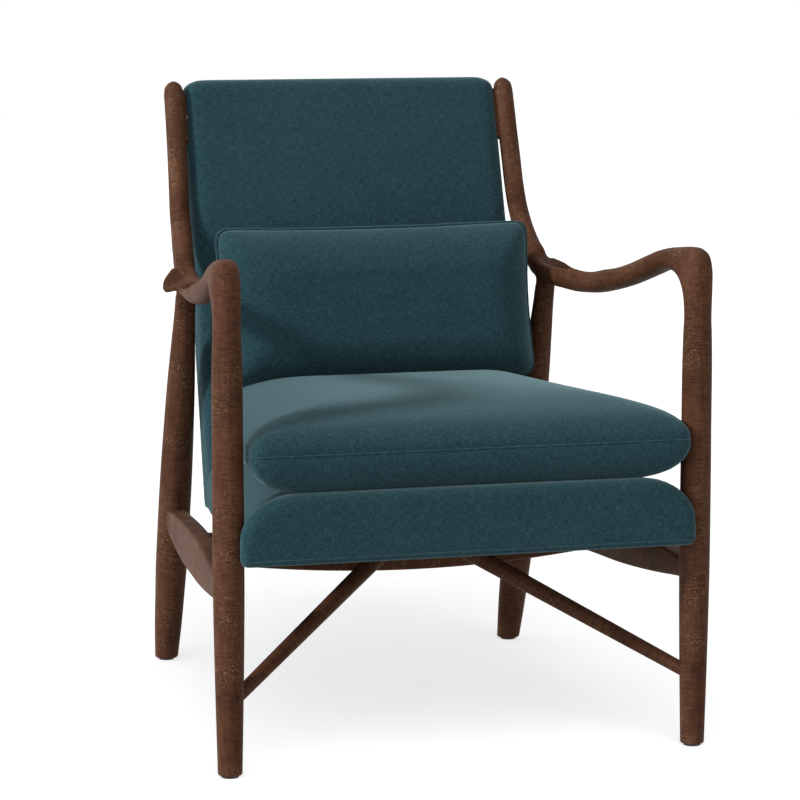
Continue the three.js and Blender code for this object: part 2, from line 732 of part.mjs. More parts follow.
const deckFrontPlank = deckCrossBoard(deckLipDepth, frontPlankBack, deckFrameLow, deckFrameTop);
const deckRearPlank = deckCrossBoard(rearPlankFront, deckInnerRear, deckFrameLow, deckFrameTop);
const deckSidePlank = deckBoard(
  frontPlankBack + seatGap, rearPlankFront - seatGap,
  (y) => plankEndAt(y) - deckFrameThickness, plankEndAt, deckFrameLow, deckFrameTop,
);
const dustCover = deckCrossBoard(deckLipDepth, deckInnerRear, seatGap, seatGap + dustCoverThickness);
const strapAt = (x) => boxSolid(
  vec(x - 0.5 * strapWidth, deckLipDepth + seatGap, strapLow),
  vec(x + 0.5 * strapWidth, deckInnerRear - seatGap, strapHigh),
);

// The cover is a skin open underneath, which the dust cover closes
const deckShell = deckBody(0, 0).subtract(deckBody(coverThickness, -overrun));
const deckFoam = deckBody(innerWall, deckFrameLow).subtract(boxSolid(
  vec(-deckLipHalfWidth, deckLipDepth - innerWall + 2 * seatGap, -overrun),
  vec(deckLipHalfWidth, deckDepth + overrun, strapHigh + seatGap),
));

// A tube through points on a level path
function tubeAlong(path, radius, sides, closed) {
  const count = path.length;
  const rings = path.map((point, i) => {
    const before = closed ? path[(i - 1 + count) % count] : path[Math.max(i - 1, 0)];
    const after = closed ? path[(i + 1) % count] : path[Math.min(i + 1, count - 1)];
    const way = after.clone().sub(before).normalize();
    const across = vec(way.y, -way.x, 0).normalize().multiplyScalar(radius);
    return ovalRing(point, across, vec(0, 0, radius), sides);
  });
  return solidOf(skinRings(rings, closed));
}

// Welt along the lower edge of the deck's front and back around its lip
function deckWelt() {
  const offset = 0.5 * deckWeltWidth + seatGap;
  const half = deckLipHalfWidth + offset;
  const bend = deckEdgeRadius;
  const side = [[half, deckLipDepth], [half, bend], [half - 0.15 * bend, 0.3 * bend - 0.5 * offset]];
  const corner = [half - 0.5 * bend, -offset];
  const right = [...side, corner, [0.4 * half, -offset]];
  const left = right.map(([x, y]) => [-x, y]).reverse();
  const path = [...right, ...left].map(([x, y]) => vec(x, y, deckWeltRise));
  return tubeAlong(path, 0.5 * deckWeltWidth, weltSides, false);
}

// Screws: a head and a shank along a line, and the hole that clears them
function screwShape(head, way, length, growth, headReach) {
  const at = (distance) => head.clone().addScaledVector(way, distance);
  const shank = rodBetween(at(-headReach), at(length + growth), 0.5 * screwWidth + growth, screwSides);
  const cap = rodBetween(
    at(-headReach), at(screwHeadHeight + growth), 0.5 * screwHeadWidth + growth, screwSides,
  );
  return shank.add(cap);
}

const screwBody = (head, way, length) => screwShape(head, way, length, 0, 0);
const screwHole = (head, way, length) => screwShape(head, way, length, slipFit, overrun);

const frontScrewBack = (frontCrossRailBack - deckFront) / Math.cos(deckTilt);
const screwHeadLevel = deckFrameLow + deckScrewGrip - deckScrewLength;
const frontScrewOut = plankEndAt(frontScrewBack) - 0.5 * deckFrameThickness;
const frontScrewHead = vec(frontScrewOut, frontScrewBack, screwHeadLevel);
const rearScrewHead = vec(rearScrewOut, rearPlankMiddle, screwHeadLevel);
const backBoltHeight = deckFrameTop - backBoltDrop;
const backBoltHead = vec(backBoltOut, rearPlankFront - screwHeadHeight - seatGap, backBoltHeight);

const frontScrewHoles = bothSides(screwHole(frontScrewHead, upWay, deckScrewLength));
const rearScrewHoles = bothSides(screwHole(rearScrewHead, upWay, deckScrewLength));
const backBoltHoles = bothSides(screwHole(backBoltHead, backWay, backBoltLength));
const boltHolesInBack = backBoltHoles.map(deckToWorld);

// Upholstered back: a gently curved slab along a line that leans backwards
const backLine = new THREE.QuadraticBezierCurve3(backFoot, backBend, backHead);
const backLength = backLine.getLength();

// A point of the back: distance up the line, out from the middle, and behind the line
function backPoint(up, x, behind) {
  const share = THREE.MathUtils.clamp(up / backLength, 0, 1);
  const way = backLine.getTangentAt(share);
  const point = backLine.getPointAt(share).addScaledVector(way, up - share * backLength);
  point.x = x;
  return point.addScaledVector(vec(0, way.z, -way.y), behind);
}

const backSteps = backStepShares.map((share) => share * backLength);

// A bar of four-sided section that follows the back
function backBar(from, to, xLow, xHigh, front, rear) {
  const steps = [from, ...backSteps.filter((up) => up > from && up < to), to];
  return solidOf(skinRings(steps.map((up) => [
    backPoint(up, xLow, front), backPoint(up, xHigh, front),
    backPoint(up, xHigh, rear), backPoint(up, xLow, rear),
  ])));
}

// One section across the back, drawn in at its ends
function backSection(up, inset, sideInset, shrink) {
  const half = mix(backFootHalfWidth, backHeadHalfWidth, up / backLength) - sideInset - shrink;
  const depth = backHalfThickness - inset - shrink;
  const along = (up / backLength - backCrownStartShare) / (1 - backCrownStartShare);
  const crown = backCrown * Math.sin(Math.PI * THREE.MathUtils.clamp(along, 0, 1));
  const corner = (radius, face) => cornerShares.map((share) => {
    const angle = 0.5 * Math.PI * share;
    const x = half - radius + radius * Math.cos(angle);
    return [x, face * (depth - radius + radius * Math.sin(angle))];
  });
  const right = [
    [0.45 * half, depth], ...corner(backRearEdgeRadius, 1).reverse(),
    ...corner(backEdgeRadius - shrink - 0.4 * inset, -1),
    [0.62 * half, -depth - 0.75 * crown], [0.25 * half, -depth - crown],
  ];
  const left = right.map(([x, v]) => [-x, v]).reverse();
  return [...right, ...left].map(([x, v]) => backPoint(up, x, v));
}

function backBody(shrink) {
  const r = backCornerRadius;
  const end = backLength;
  const stations = [
    [shrink, 0.3 * r, 0.3 * r], [0.15 * r, 0.12 * r, 0.12 * r], [0.5 * r, 0, 0],
    ...backSteps.map((up) => [up, 0, 0]),
    [0.92 * end, 0, 0], [end - r, 0, 0], [end - 0.55 * r, 0.12 * r, 0.2 * r],
    [end - 0.22 * r, 0.4 * r, 0.55 * r], [end - shrink, 0.85 * r, 1.1 * r],
  ];
  return solidOf(skinRings(stations.map(([up, inset, side]) => backSection(up, inset, side, shrink))));
}

const stileOuter = backHeadHalfWidth - innerWall - stileSideRoom;
const stileInner = stileOuter - stileWidth;
const railEnd = stileInner - seatGap;
const stileFace = backPadding - backHalfThickness;
const panelFace = backHalfThickness - backPanelThickness;
const frameRear = panelFace - seatGap;
const bottomRailTop = backFootRoom + backRailHeight;
const topRailTop = backLength - backHeadRoom;
const topRailLow = topRailTop - backRailHeight;
const windowEdge = backHeadHalfWidth - backHemWidth;
const windowLow = backHemWidth;
const windowHigh = backLength - backHemWidth;
const beyond = backHalfThickness + overrun;
const beyondSides = backHeadHalfWidth + overrun;

const backStile = backBar(backFootRoom, topRailTop, stileInner, stileOuter, stileFace, frameRear);
const backRailBottom = backBar(
  backFootRoom, bottomRailTop, -railEnd, railEnd, innerWall - backHalfThickness, frameRear,
);
const backRailTop = backBar(topRailLow, topRailTop, -railEnd, railEnd, stileFace, frameRear);
const backPanel = backBar(
  windowLow + seatGap, windowHigh - seatGap, seatGap - windowEdge, windowEdge - seatGap,
  panelFace, backHalfThickness,
);
const backShell = cut(
  backBody(0), backBody(coverThickness),
  backBar(windowLow, windowHigh, -windowEdge, windowEdge, 0, beyond),
);
const stileRoom = backBar(
  -overrun, topRailTop + seatGap, railEnd, beyondSides, stileFace - seatGap, beyond,
);
const backFoam = cut(
  backBody(innerWall),
  backBar(-overrun, bottomRailTop + seatGap, -beyondSides, beyondSides, -beyond, beyond),
  backBar(
    bottomRailTop, backLength + overrun, -beyondSides, beyondSides,
    backFoamDepth - backHalfThickness, beyond,
  ),
  backBar(topRailLow - seatGap, topRailTop + seatGap, -stileInner, stileInner, stileFace - seatGap, beyond),
  ...bothSides(stileRoom),
);

// Spacer between a post and the side of the back, which the pin passes through
function backSpacer() {
  const low = postPlaceAt(backPinHeight - 0.5 * spacerHeight);
  const high = postPlaceAt(backPinHeight + 0.5 * spacerHeight);
  const lean = Math.atan2(high.y - low.y, high.z - low.z);
  const inner = backHeadHalfWidth;
  const outer = postPinPlace.x - spacerReachShare * postHalfWidth;
  const geometry = new THREE.BoxGeometry(outer - inner, spacerDepth, spacerHeight);
  geometry.rotateX(-lean);
  geometry.translate(0.5 * (inner + outer), pinLine.y, pinLine.z);
  return cut(solidOf(geometry), postBody(seatGap), backBody(-seatGap), pinHole);
}

// Cushions: an outline at the seam, and a profile of insets and heights on each side of it

// A four-sided outline with round corners, whose sides draw in between the corners
function cushionOutline({ halfFront, halfRear, front, rear, radius, drawIn }, shrink) {
  const inset = radius + shrink;
  const centres = [
    vec(halfFront - inset, front + inset, 0), vec(halfRear - inset, rear - inset, 0),
    vec(inset - halfRear, rear - inset, 0), vec(inset - halfFront, front + inset, 0),
  ];
  const onCorner = (i, share) => {
    const angle = 0.5 * Math.PI * (i - 1 + share);
    return centres[i].clone().add(vec(radius * Math.cos(angle), radius * Math.sin(angle), 0));
  };
  return centres.flatMap((centre, i) => {
    const leave = onCorner(i, 1);
    const arrive = onCorner((i + 1) % centres.length, 0);
    const inward = vec(leave.y - arrive.y, arrive.x - leave.x, 0).normalize();
    const side = cushionSideShares.map((share) => {
      const point = leave.clone().lerp(arrive, share);
      return point.addScaledVector(inward, drawIn * Math.sin(Math.PI * share));
    });
    return [...cushionCornerShares.map((share) => onCorner(i, share)), ...side];
  });
}

// profile rows: inset from the seam and height; crown rows: share of the last ring and height
function cushionBody(size, shrink, above, below, crownAbove, crownBelow) {
  const outline = cushionOutline(size, shrink);
  const middle = 0.5 * (size.front + size.rear);
  const halfWidth = 0.5 * (size.halfFront + size.halfRear);
  const halfDepth = 0.5 * (size.rear - size.front);
  const ringAt = (inset, share, height) => outline.map((point) => vec(
    point.x * (1 - inset / halfWidth) * share,
    middle + (point.y - middle) * (1 - inset / halfDepth) * share,
    height,
  ));
  const [lastAbove] = above.at(-1);
  const [lastBelow] = below.at(-1);
  return solidOf(skinRings([
    ...crownBelow.map(([share, height]) => ringAt(lastBelow, share, height)).reverse(),
    ...below.map(([inset, height]) => ringAt(inset, 1, height)).reverse(),
    ringAt(0, 1, 0),
    ...above.map(([inset, height]) => ringAt(inset, 1, height)),
    ...crownAbove.map(([share, height]) => ringAt(lastAbove, share, height)),
  ]));
}

// Seat cushion: lies on the deck, in a frame on its seam plane with the same tilt

const cushionDepth = deckDepth + cushionRearReach;
const seamAboveDeck = deckHeight + seatGap + cushionDrop;
const cushionSeamHeight = deckUnderside
  + (seamAboveDeck - (cushionFront - deckFront) * Math.sin(deckTilt)) / Math.cos(deckTilt);
const cushionGroup = new THREE.Group();
cushionGroup.position.set(0, cushionFront, cushionSeamHeight);
cushionGroup.rotation.x = -deckTilt;
cushionGroup.updateMatrix();

const cushionSize = {
  halfFront: deckFrontHalfWidth + cushionFrontSpread,
  halfRear: deckRearHalfWidth + cushionRearSpread,
  front: 0,
  rear: cushionDepth,
  radius: cushionCornerRadius,
  drawIn: cushionDrawIn,
};

const scaledRows = (rows, across, height) => rows.map(([inset, rise]) => [inset * across, rise * height]);
const scaledCrown = (rows, height) => rows.map(([share, rise]) => [share, rise * height]);

function seatCushionBody(shrink) {
  const rise = cushionRise - shrink;
  const drop = shrink - cushionDrop;
  return cushionBody(
    cushionSize, shrink,
    scaledRows(cushionTopShares, cushionRise, rise), scaledRows(cushionBottomShares, cushionRise, drop),
    scaledCrown(cushionCrownShares, rise), scaledCrown(cushionFloorShares, drop),
  );
}

// Lumbar cushion: stands on the seat cushion and leans back, its face along local +Z

const [, shoulderShare] = cushionTopShares.at(-1);
const lumbarReach = lumbarHalfHeight + lumbarWeltWidth + 2 * seatGap;
const lumbarBack = backBend.y - lumbarAhead;
const lumbarFootBack = lumbarBack - lumbarReach * Math.sin(lumbarTilt);
const lumbarFoot = cushionSeamHeight + cushionRise * shoulderShare * Math.cos(deckTilt)
  - (lumbarFootBack - cushionFront) * Math.tan(deckTilt) + seatGap;
const lumbarGroup = new THREE.Group();
lumbarGroup.position.set(0, lumbarBack, lumbarFoot + lumbarReach * Math.cos(lumbarTilt));
lumbarGroup.rotation.x = 0.5 * Math.PI - lumbarTilt;

const lumbarSize = {
  halfFront: lumbarHalfWidth,
  halfRear: lumbarHalfWidth,
  front: -lumbarHalfHeight,
  rear: lumbarHalfHeight,
  radius: lumbarCornerRadius,
  drawIn: lumbarDrawIn,
};

function lumbarBody(shrink) {
  const face = lumbarFrontBulge - shrink;
  const rear = shrink - lumbarRearBulge;
  return cushionBody(
    lumbarSize, shrink,
    scaledRows(lumbarShares, lumbarHalfHeight, face), scaledRows(lumbarShares, lumbarHalfHeight, rear),
    scaledCrown(lumbarCrownShares, face), scaledCrown(lumbarCrownShares, rear),
  );
}

function lumbarWelt() {
  const offset = 0.5 * lumbarWeltWidth + seatGap;
  return tubeAlong(cushionOutline(lumbarSize, -offset), 0.5 * lumbarWeltWidth, weltSides, true);
}

// A cover is a thin skin with a slot at its rear seam, and the zip fills that slot
function coverAndZip(bodyOf, zipHalfLength, low, high, zipMiddle) {
  const shell = bodyOf(0).subtract(bodyOf(coverThickness));
  const slot = (room) => boxSolid(
    vec(room - zipHalfLength, low, zipMiddle - 0.5 * zipHeight + room),
    vec(zipHalfLength - room, high, zipMiddle + 0.5 * zipHeight - room),
  );
  return [shell.subtract(slot(0)), shell.intersect(slot(seatGap))];
}

const [seatCover, seatZip] = coverAndZip(
  seatCushionBody, cushionZipHalfLength, cushionDepth - cushionDrawIn - 3 * coverThickness,
  cushionDepth + overrun, 0,
);
const [lumbarCover, lumbarZip] = coverAndZip(
  lumbarBody, lumbarZipHalfLength, -lumbarHalfHeight,
  -lumbarZipShare * lumbarHalfHeight, -lumbarZipShare * lumbarRearBulge,
);

// Finishes
const finishes = {
  walnut: { color: 0x4a2f24, roughness: 0.45, metalness: 0 },
  bareWood: { color: 0xb89468, roughness: 0.75, metalness: 0 },
  cloth: { color: 0x2a515b, roughness: 0.95, metalness: 0 },
  foam: { color: 0xe6dfc8, roughness: 0.95, metalness: 0 },
  lining: { color: 0x1b1c1e, roughness: 0.95, metalness: 0 },
  webbing: { color: 0x3b3632, roughness: 0.9, metalness: 0 },
  steel: { color: 0x9a9a98, roughness: 0.35, metalness: 1 },
  glide: { color: 0x2a2622, roughness: 0.6, metalness: 0 },
};

function piece(name, solid, finish) {
  const mesh = new THREE.Mesh(geometryOf(solid), new THREE.MeshStandardMaterial(finishes[finish]));
  mesh.name = name;
  return mesh;
}

function pair(name, solid, finish) {
  return [piece(`${name}_right`, solid, finish), piece(`${name}_left`, mirrored(solid), finish)];
}

// Assembly

const chair = new THREE.Group();
const screwHoles = [...frontScrewHoles, ...rearScrewHoles];

chair.add(
  ...pair('front_leg', frontLeg, 'walnut'),
  ...pair('rear_leg', rearLeg, 'walnut'),
  ...pair('armrest', armrest, 'walnut'),
  ...pair('back_post', backPost, 'walnut'),
  ...pair('side_rail', sideRail, 'walnut'),
  piece('front_cross_rail', cut(
    crossRail(frontCross), ...bothSides(headTenon(slipFit)), ...frontScrewHoles.map(deckToWorld),
  ), 'walnut'),
  piece('rear_cross_rail', cut(crossRail(rearCross), ...rearScrewHoles.map(deckToWorld)), 'walnut'),
  ...pair('stretcher', stretcher(), 'walnut'),
  ...pair('front_glide', glideBody(frontAxis(0)), 'glide'),
  ...pair('rear_glide', glideBody(rearAxis(glideHeight)), 'glide'),
  ...pair('arm_front_dowel', dowelBody(legJoint, upWay, armDowelLength), 'bareWood'),
  ...pair('arm_rear_dowel', dowelBody(rearJoint, rearDirection, rearDowelLength), 'bareWood'),
  ...pair('post_dowel', dowelBody(armEnd, armEndWay, postDowelLength), 'bareWood'),
  ...pair('back_spacer', backSpacer(), 'walnut'),
  ...pair('back_pin', pinBody, 'bareWood'),
  ...pair('back_stile', cut(backStile, pinHole), 'bareWood'),
  piece('back_rail_top', backRailTop, 'bareWood'),
  piece('back_rail_bottom', cut(backRailBottom, ...boltHolesInBack), 'bareWood'),
  piece('back_foam', backFoam, 'foam'),
  piece('back_cover', cut(backShell, ...bothSides(pinHole), ...boltHolesInBack), 'cloth'),
  piece('back_panel', backPanel, 'cloth'),
);

deckGroup.add(
  piece('deck_frame_front', deckFrontPlank, 'bareWood'),
  piece('deck_frame_rear', cut(deckRearPlank, ...rearScrewHoles, ...backBoltHoles), 'bareWood'),
  ...pair('deck_frame_side', cut(deckSidePlank, ...frontScrewHoles), 'bareWood'),
  piece('deck_strap_left', strapAt(-strapSpacing), 'webbing'),
  piece('deck_strap_middle', strapAt(0), 'webbing'),
  piece('deck_strap_right', strapAt(strapSpacing), 'webbing'),
  piece('deck_foam', deckFoam, 'foam'),
  piece('deck_cover', cut(deckShell, ...backBoltHoles), 'cloth'),
  piece('deck_welt', deckWelt(), 'cloth'),
  piece('dust_cover', cut(dustCover, ...screwHoles), 'lining'),
  ...pair('deck_screw_front', screwBody(frontScrewHead, upWay, deckScrewLength), 'steel'),
  ...pair('deck_screw_rear', screwBody(rearScrewHead, upWay, deckScrewLength), 'steel'),
  ...pair('back_bolt', screwBody(backBoltHead, backWay, backBoltLength), 'steel'),
);

cushionGroup.add(
  piece('seat_cushion_cover', seatCover, 'cloth'),
  piece('seat_cushion_core', seatCushionBody(innerWall), 'foam'),
  piece('seat_cushion_zip', seatZip, 'lining'),
);
lumbarGroup.add(
  piece('lumbar_cover', lumbarCover, 'cloth'),
  piece('lumbar_core', lumbarBody(innerWall), 'foam'),
  piece('lumbar_welt', lumbarWelt(), 'cloth'),
  piece('lumbar_zip', lumbarZip, 'lining'),
);
chair.add(deckGroup, cushionGroup, lumbarGroup);

// The origin is the middle of the footprint, on the floor
const bounds = new THREE.Box3().setFromObject(chair);
chair.position.y = -0.5 * (bounds.min.y + bounds.max.y);

export default chair;
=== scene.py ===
import math
import bpy
import numpy as np
from mathutils import Matrix, Vector
from mathutils.bvhtree import BVHTree


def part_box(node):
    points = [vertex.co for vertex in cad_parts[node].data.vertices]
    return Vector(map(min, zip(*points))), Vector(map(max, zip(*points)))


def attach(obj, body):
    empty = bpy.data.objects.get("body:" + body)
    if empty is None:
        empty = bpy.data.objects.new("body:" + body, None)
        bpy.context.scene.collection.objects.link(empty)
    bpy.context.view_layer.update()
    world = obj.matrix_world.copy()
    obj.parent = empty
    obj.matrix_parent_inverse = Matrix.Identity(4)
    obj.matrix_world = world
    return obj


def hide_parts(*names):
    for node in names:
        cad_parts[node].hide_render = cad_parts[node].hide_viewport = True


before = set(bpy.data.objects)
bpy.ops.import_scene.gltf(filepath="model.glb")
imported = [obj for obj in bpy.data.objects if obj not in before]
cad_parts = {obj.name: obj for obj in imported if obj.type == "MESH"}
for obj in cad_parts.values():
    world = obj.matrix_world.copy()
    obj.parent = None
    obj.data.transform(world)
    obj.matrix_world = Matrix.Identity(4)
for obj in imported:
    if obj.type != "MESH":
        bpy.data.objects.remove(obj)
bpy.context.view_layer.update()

scene = bpy.context.scene
legLow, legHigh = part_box("front_leg_right")
legBack = 0.5 * (legLow.y + legHigh.y)    # depth of the front legs' axes
print("frame loaded, front legs at y", round(legBack, 4))


# ---- shared helpers
def mix(a, b, share):
    return a + (b - a) * share


def unit(v):
    return np.array(v, float) / np.linalg.norm(v)


def meshObject(name, vertices, faces, edges=()):
    mesh = bpy.data.meshes.new(name)
    mesh.from_pydata([tuple(v) for v in vertices], edges, faces)
    mesh.validate()
    mesh.shade_smooth()
    thing = bpy.data.objects.new(name, mesh)
    scene.collection.objects.link(thing)
    return thing


def smoothRings(rings, step):
    # rings of points, made finer along their run by cubic curves through each point
    rings = np.array(rings, float)
    steps = np.diff(rings, axis=0)
    gaps = np.maximum(np.linalg.norm(steps.mean(axis=1), axis=1), np.linalg.norm(steps, axis=2).mean(axis=1))
    gaps = np.maximum(gaps, 1e-6)
    tangents = np.gradient(rings, np.concatenate([[0], np.cumsum(gaps)]), axis=0)
    finer = []
    for i, gap in enumerate(gaps):
        count = max(1, math.ceil(gap / step))
        for t in np.arange(count) / count:
            finer.append(
                (2 * t**3 - 3 * t**2 + 1) * rings[i] + (t**3 - 2 * t**2 + t) * gap * tangents[i]
                + (3 * t**2 - 2 * t**3) * rings[i + 1] + (t**3 - t**2) * gap * tangents[i + 1]
            )
    finer.append(rings[-1])
    return np.array(finer)


def ringMesh(name, rings):
    # a skin through rings, with both ends closed by a fan and its faces turned outwards
    rings = np.array(rings, float)
    count, sides = rings.shape[:2]
    vertices = rings.reshape(-1, 3).tolist()
    faces = []
    for here in range(0, (count - 1) * sides, sides):
        for i in range(sides):
            j = (i + 1) % sides
            faces.append((here + i, here + j, here + sides + j, here + sides + i))
    for r, turn in ((0, -1), (count - 1, 1)):
        hub = len(vertices)
        vertices.append(rings[r].mean(axis=0).tolist())
        for i in range(sides):
            fan = (hub, r * sides + i, r * sides + (i + 1) % sides)
            faces.append(fan[::turn])
    triangles = np.array([(face[0], face[k], face[k + 1]) for face in faces for k in range(1, len(face) - 1)])
    a, b, c = np.array(vertices)[triangles].transpose(1, 0, 2)
    if np.sum(a * np.cross(b, c)) < 0:
        faces = [face[::-1] for face in faces]
    return meshObject(name, vertices, faces)


def mirrorCopy(thing):
    # the left-hand twin: mirrored across x, with its faces turned back to point outwards
    twin = bpy.data.objects.new(thing.name.replace("right", "left"), thing.data.copy())
    scene.collection.objects.link(twin)
    twin.data.transform(Matrix.Scale(-1, 4, (1, 0, 0)))
    twin.data.flip_normals()
    return twin


def evaluated(thing):
    # the mesh as its modifiers leave it, in the object's place, with the modifiers removed
    bpy.context.view_layer.update()
    result = thing.evaluated_get(bpy.context.evaluated_depsgraph_get())
    mesh = bpy.data.meshes.new_from_object(result)
    thing.modifiers.clear()
    old = thing.data
    thing.data = mesh
    bpy.data.meshes.remove(old)
    return thing


def voxelSkin(thing, voxel):
    remesh = thing.modifiers.new("skin", "REMESH")
    remesh.mode = "VOXEL"
    remesh.voxel_size = voxel
    remesh.use_smooth_shade = True
    return evaluated(thing)


def readAll(items, key, width=3, kind=np.float32):
    values = np.empty(width * len(items), kind)
    items.foreach_get(key, values)
    return values.reshape(-1, width)


def coordinates(thing):
    return readAll(thing.data.vertices, "co").astype(float)


def setCoordinates(thing, co):
    thing.data.vertices.foreach_set("co", co.astype(np.float32).ravel())
    thing.data.update()


def leaning(start, angle):
    return Matrix.Translation(start) @ Matrix.Rotation(angle, 4, "X")


def localPoints(co, place):
    inverse = np.array(place.inverted())
    return co @ inverse[:3, :3].T + inverse[:3, 3]


def edgeArray(thing):
    return readAll(thing.data.edges, "vertices", 2, np.int32)


def neighbourMean(edges, co):
    total = np.zeros_like(co)
    count = np.zeros(len(co))
    for a, b in ((0, 1), (1, 0)):
        np.add.at(total, edges[:, a], co[edges[:, b]])
        np.add.at(count, edges[:, a], 1)
    return total / np.maximum(count, 1)[:, None]


def runLengths(points):
    # the length of a line up to each of its points
    return np.concatenate([[0], np.cumsum(np.linalg.norm(np.diff(points, axis=0), axis=1))])


def treeOf(thing):
    mesh = thing.data
    return BVHTree.FromPolygons([v.co for v in mesh.vertices], [tuple(p.vertices) for p in mesh.polygons])


def quarterTurn(count):
    # sine and cosine at even steps from nothing to a right angle
    return [(math.sin(angle), math.cos(angle)) for angle in np.linspace(0, 0.5 * math.pi, count)]


def mirrored(half):
    # a closed section from its right half, which starts and ends in the middle
    return half + [(-x, z) for x, z in half[-2:0:-1]]


def ovalRing(centre, across, up, sides):
    angles = 2 * np.pi * np.arange(sides) / sides
    c, s = np.cos(angles)[:, None], np.sin(angles)[:, None]
    return centre + c * across + s * up


def boxRing(centre, across, up, wide, high, radius, perCorner=6):
    # a rectangle with round corners, the same number of points for every size
    points = []
    for quarter, (sx, sy) in enumerate(((1, 1), (-1, 1), (-1, -1), (1, -1))):
        for k in range(perCorner):
            angle = 0.5 * math.pi * (quarter + k / (perCorner - 1))
            x = sx * (0.5 * wide - radius) + radius * math.cos(angle)
            y = sy * (0.5 * high - radius) + radius * math.sin(angle)
            points.append(centre + x * np.array(across) + y * np.array(up))
    return points


# ---- materials
black, white = (0, 0, 0), (1, 1, 1)


def fillNode(tree, target, inputs):
    # each input gets a number, a colour or the output of another node
    for name, value in inputs.items():
        socket = target.inputs[name]
        if isinstance(value, bpy.types.NodeSocket):
            tree.links.new(value, socket)
        elif socket.type == "RGBA":
            socket.default_value = (*value, 1)
        else:
            socket.default_value = value


def addNode(tree, kind, inputs=None, **settings):
    made = tree.nodes.new("ShaderNode" + kind)
    for key, value in settings.items():
        setattr(made, key, value)
    fillNode(tree, made, inputs or {})
    return made


def maths(tree, operation, *values):
    return addNode(tree, "Math", dict(enumerate(values)), operation=operation).outputs[0]


def weightedSum(tree, *terms):
    total = 0
    for value, weight in terms:
        total = maths(tree, "ADD", total, maths(tree, "MULTIPLY", value, weight))
    return total


def noise(tree, vector, scale, detail, stretch=None):
    if stretch:
        vector = addNode(tree, "Mapping", {"Vector": vector, "Scale": stretch}).outputs[0]
    inputs = {"Vector": vector, "Scale": scale, "Detail": detail, "Roughness": 0.55}
    return addNode(tree, "TexNoise", inputs).outputs["Fac"]


def ramp(tree, value, stops):
    made = addNode(tree, "ValToRGB", {0: value})
    elements = made.color_ramp.elements
    while len(elements) < len(stops):
        elements.new(0.5)
    for element, (position, colour) in zip(elements, stops):
        element.position = position
        element.color = (*colour, 1)
    return made.outputs[0]


def bump(tree, height, strength, depth):
    return addNode(tree, "Bump", {"Height": height, "Strength": strength, "Distance": depth}).outputs[0]


def newMaterial(name):
    material = bpy.data.materials.new(name)
    material.use_nodes = True
    return material, material.node_tree, material.node_tree.nodes["Principled BSDF"]


woodLook = {
    "tones": [
        (0.36, (0.041, 0.0158, 0.0084)), (0.5, (0.085, 0.0355, 0.0193)), (0.66, (0.132, 0.061, 0.035)),
    ],
    "shares": (0.42, 0.26, 0.32), "rough": 0.62, "smooth": 0.52, "specular": 0.06,
    "bump": (0.25, 0.0004),
    "fleck": (0.34, 0.235, 0.125), "fleckShare": 0.7, "fleckRange": (0.565, 0.72), "patchRange": (0.46, 0.64),
    # scale and detail, and the stretch across, across and along the wood
    "bands": (1, 4, (70, 70, 520)), "lines": (1, 3, (300, 300, 26)), "cloud": (14, 3),
    "flecks": (640, 1.5, (0.55, 0.55, 1.1)), "patches": (17, 3),
}


def woodMaterial(name, look):
    # stained wood: fine bands across the run of each piece, soft mottling, golden flecks in patches
    material, tree, shader = newMaterial(name)
    place = addNode(tree, "Attribute", attribute_name="grain").outputs["Vector"]
    parts = [noise(tree, place, *look[key]) for key in ("bands", "lines", "cloud")]
    tone = weightedSum(tree, *zip(parts, look["shares"]))
    speckle = [ramp(tree, noise(tree, place, *look[key]), list(zip(look[limits], (black, white))))
               for key, limits in (("flecks", "fleckRange"), ("patches", "patchRange"))]
    speckle = maths(tree, "MULTIPLY", maths(tree, "MULTIPLY", *speckle), look["fleckShare"])
    colours = {0: speckle, 6: ramp(tree, tone, look["tones"]), 7: look["fleck"]}
    fillNode(tree, shader, {
        "Base Color": addNode(tree, "Mix", colours, data_type="RGBA").outputs[2],
        "Roughness": ramp(tree, tone, [(0.3, (look["rough"],) * 3), (0.7, (look["smooth"],) * 3)]),
        "Specular IOR Level": look["specular"],
        "Normal": bump(tree, tone, *look["bump"]),
    })
    return material


clothLook = {
    "tones": [
        (0.33, (0.007, 0.025, 0.032)), (0.49, (0.0168, 0.0505, 0.0625)), (0.66, (0.035, 0.087, 0.104)),
    ],
    # how much slubs, cloud and weave tell
    "shares": (0.46, 0.08, 0.03), "cloud": (22, 3), "thread": 0.00085, "slubLong": 0.008,
    "slubWide": 0.0014, "rough": 0.92, "specular": 0.1, "sheen": 0.36, "sheenRough": 0.45,
    "sheenTint": (0.6, 0.9, 0.96), "bump": (0.35, 0.0003),
}


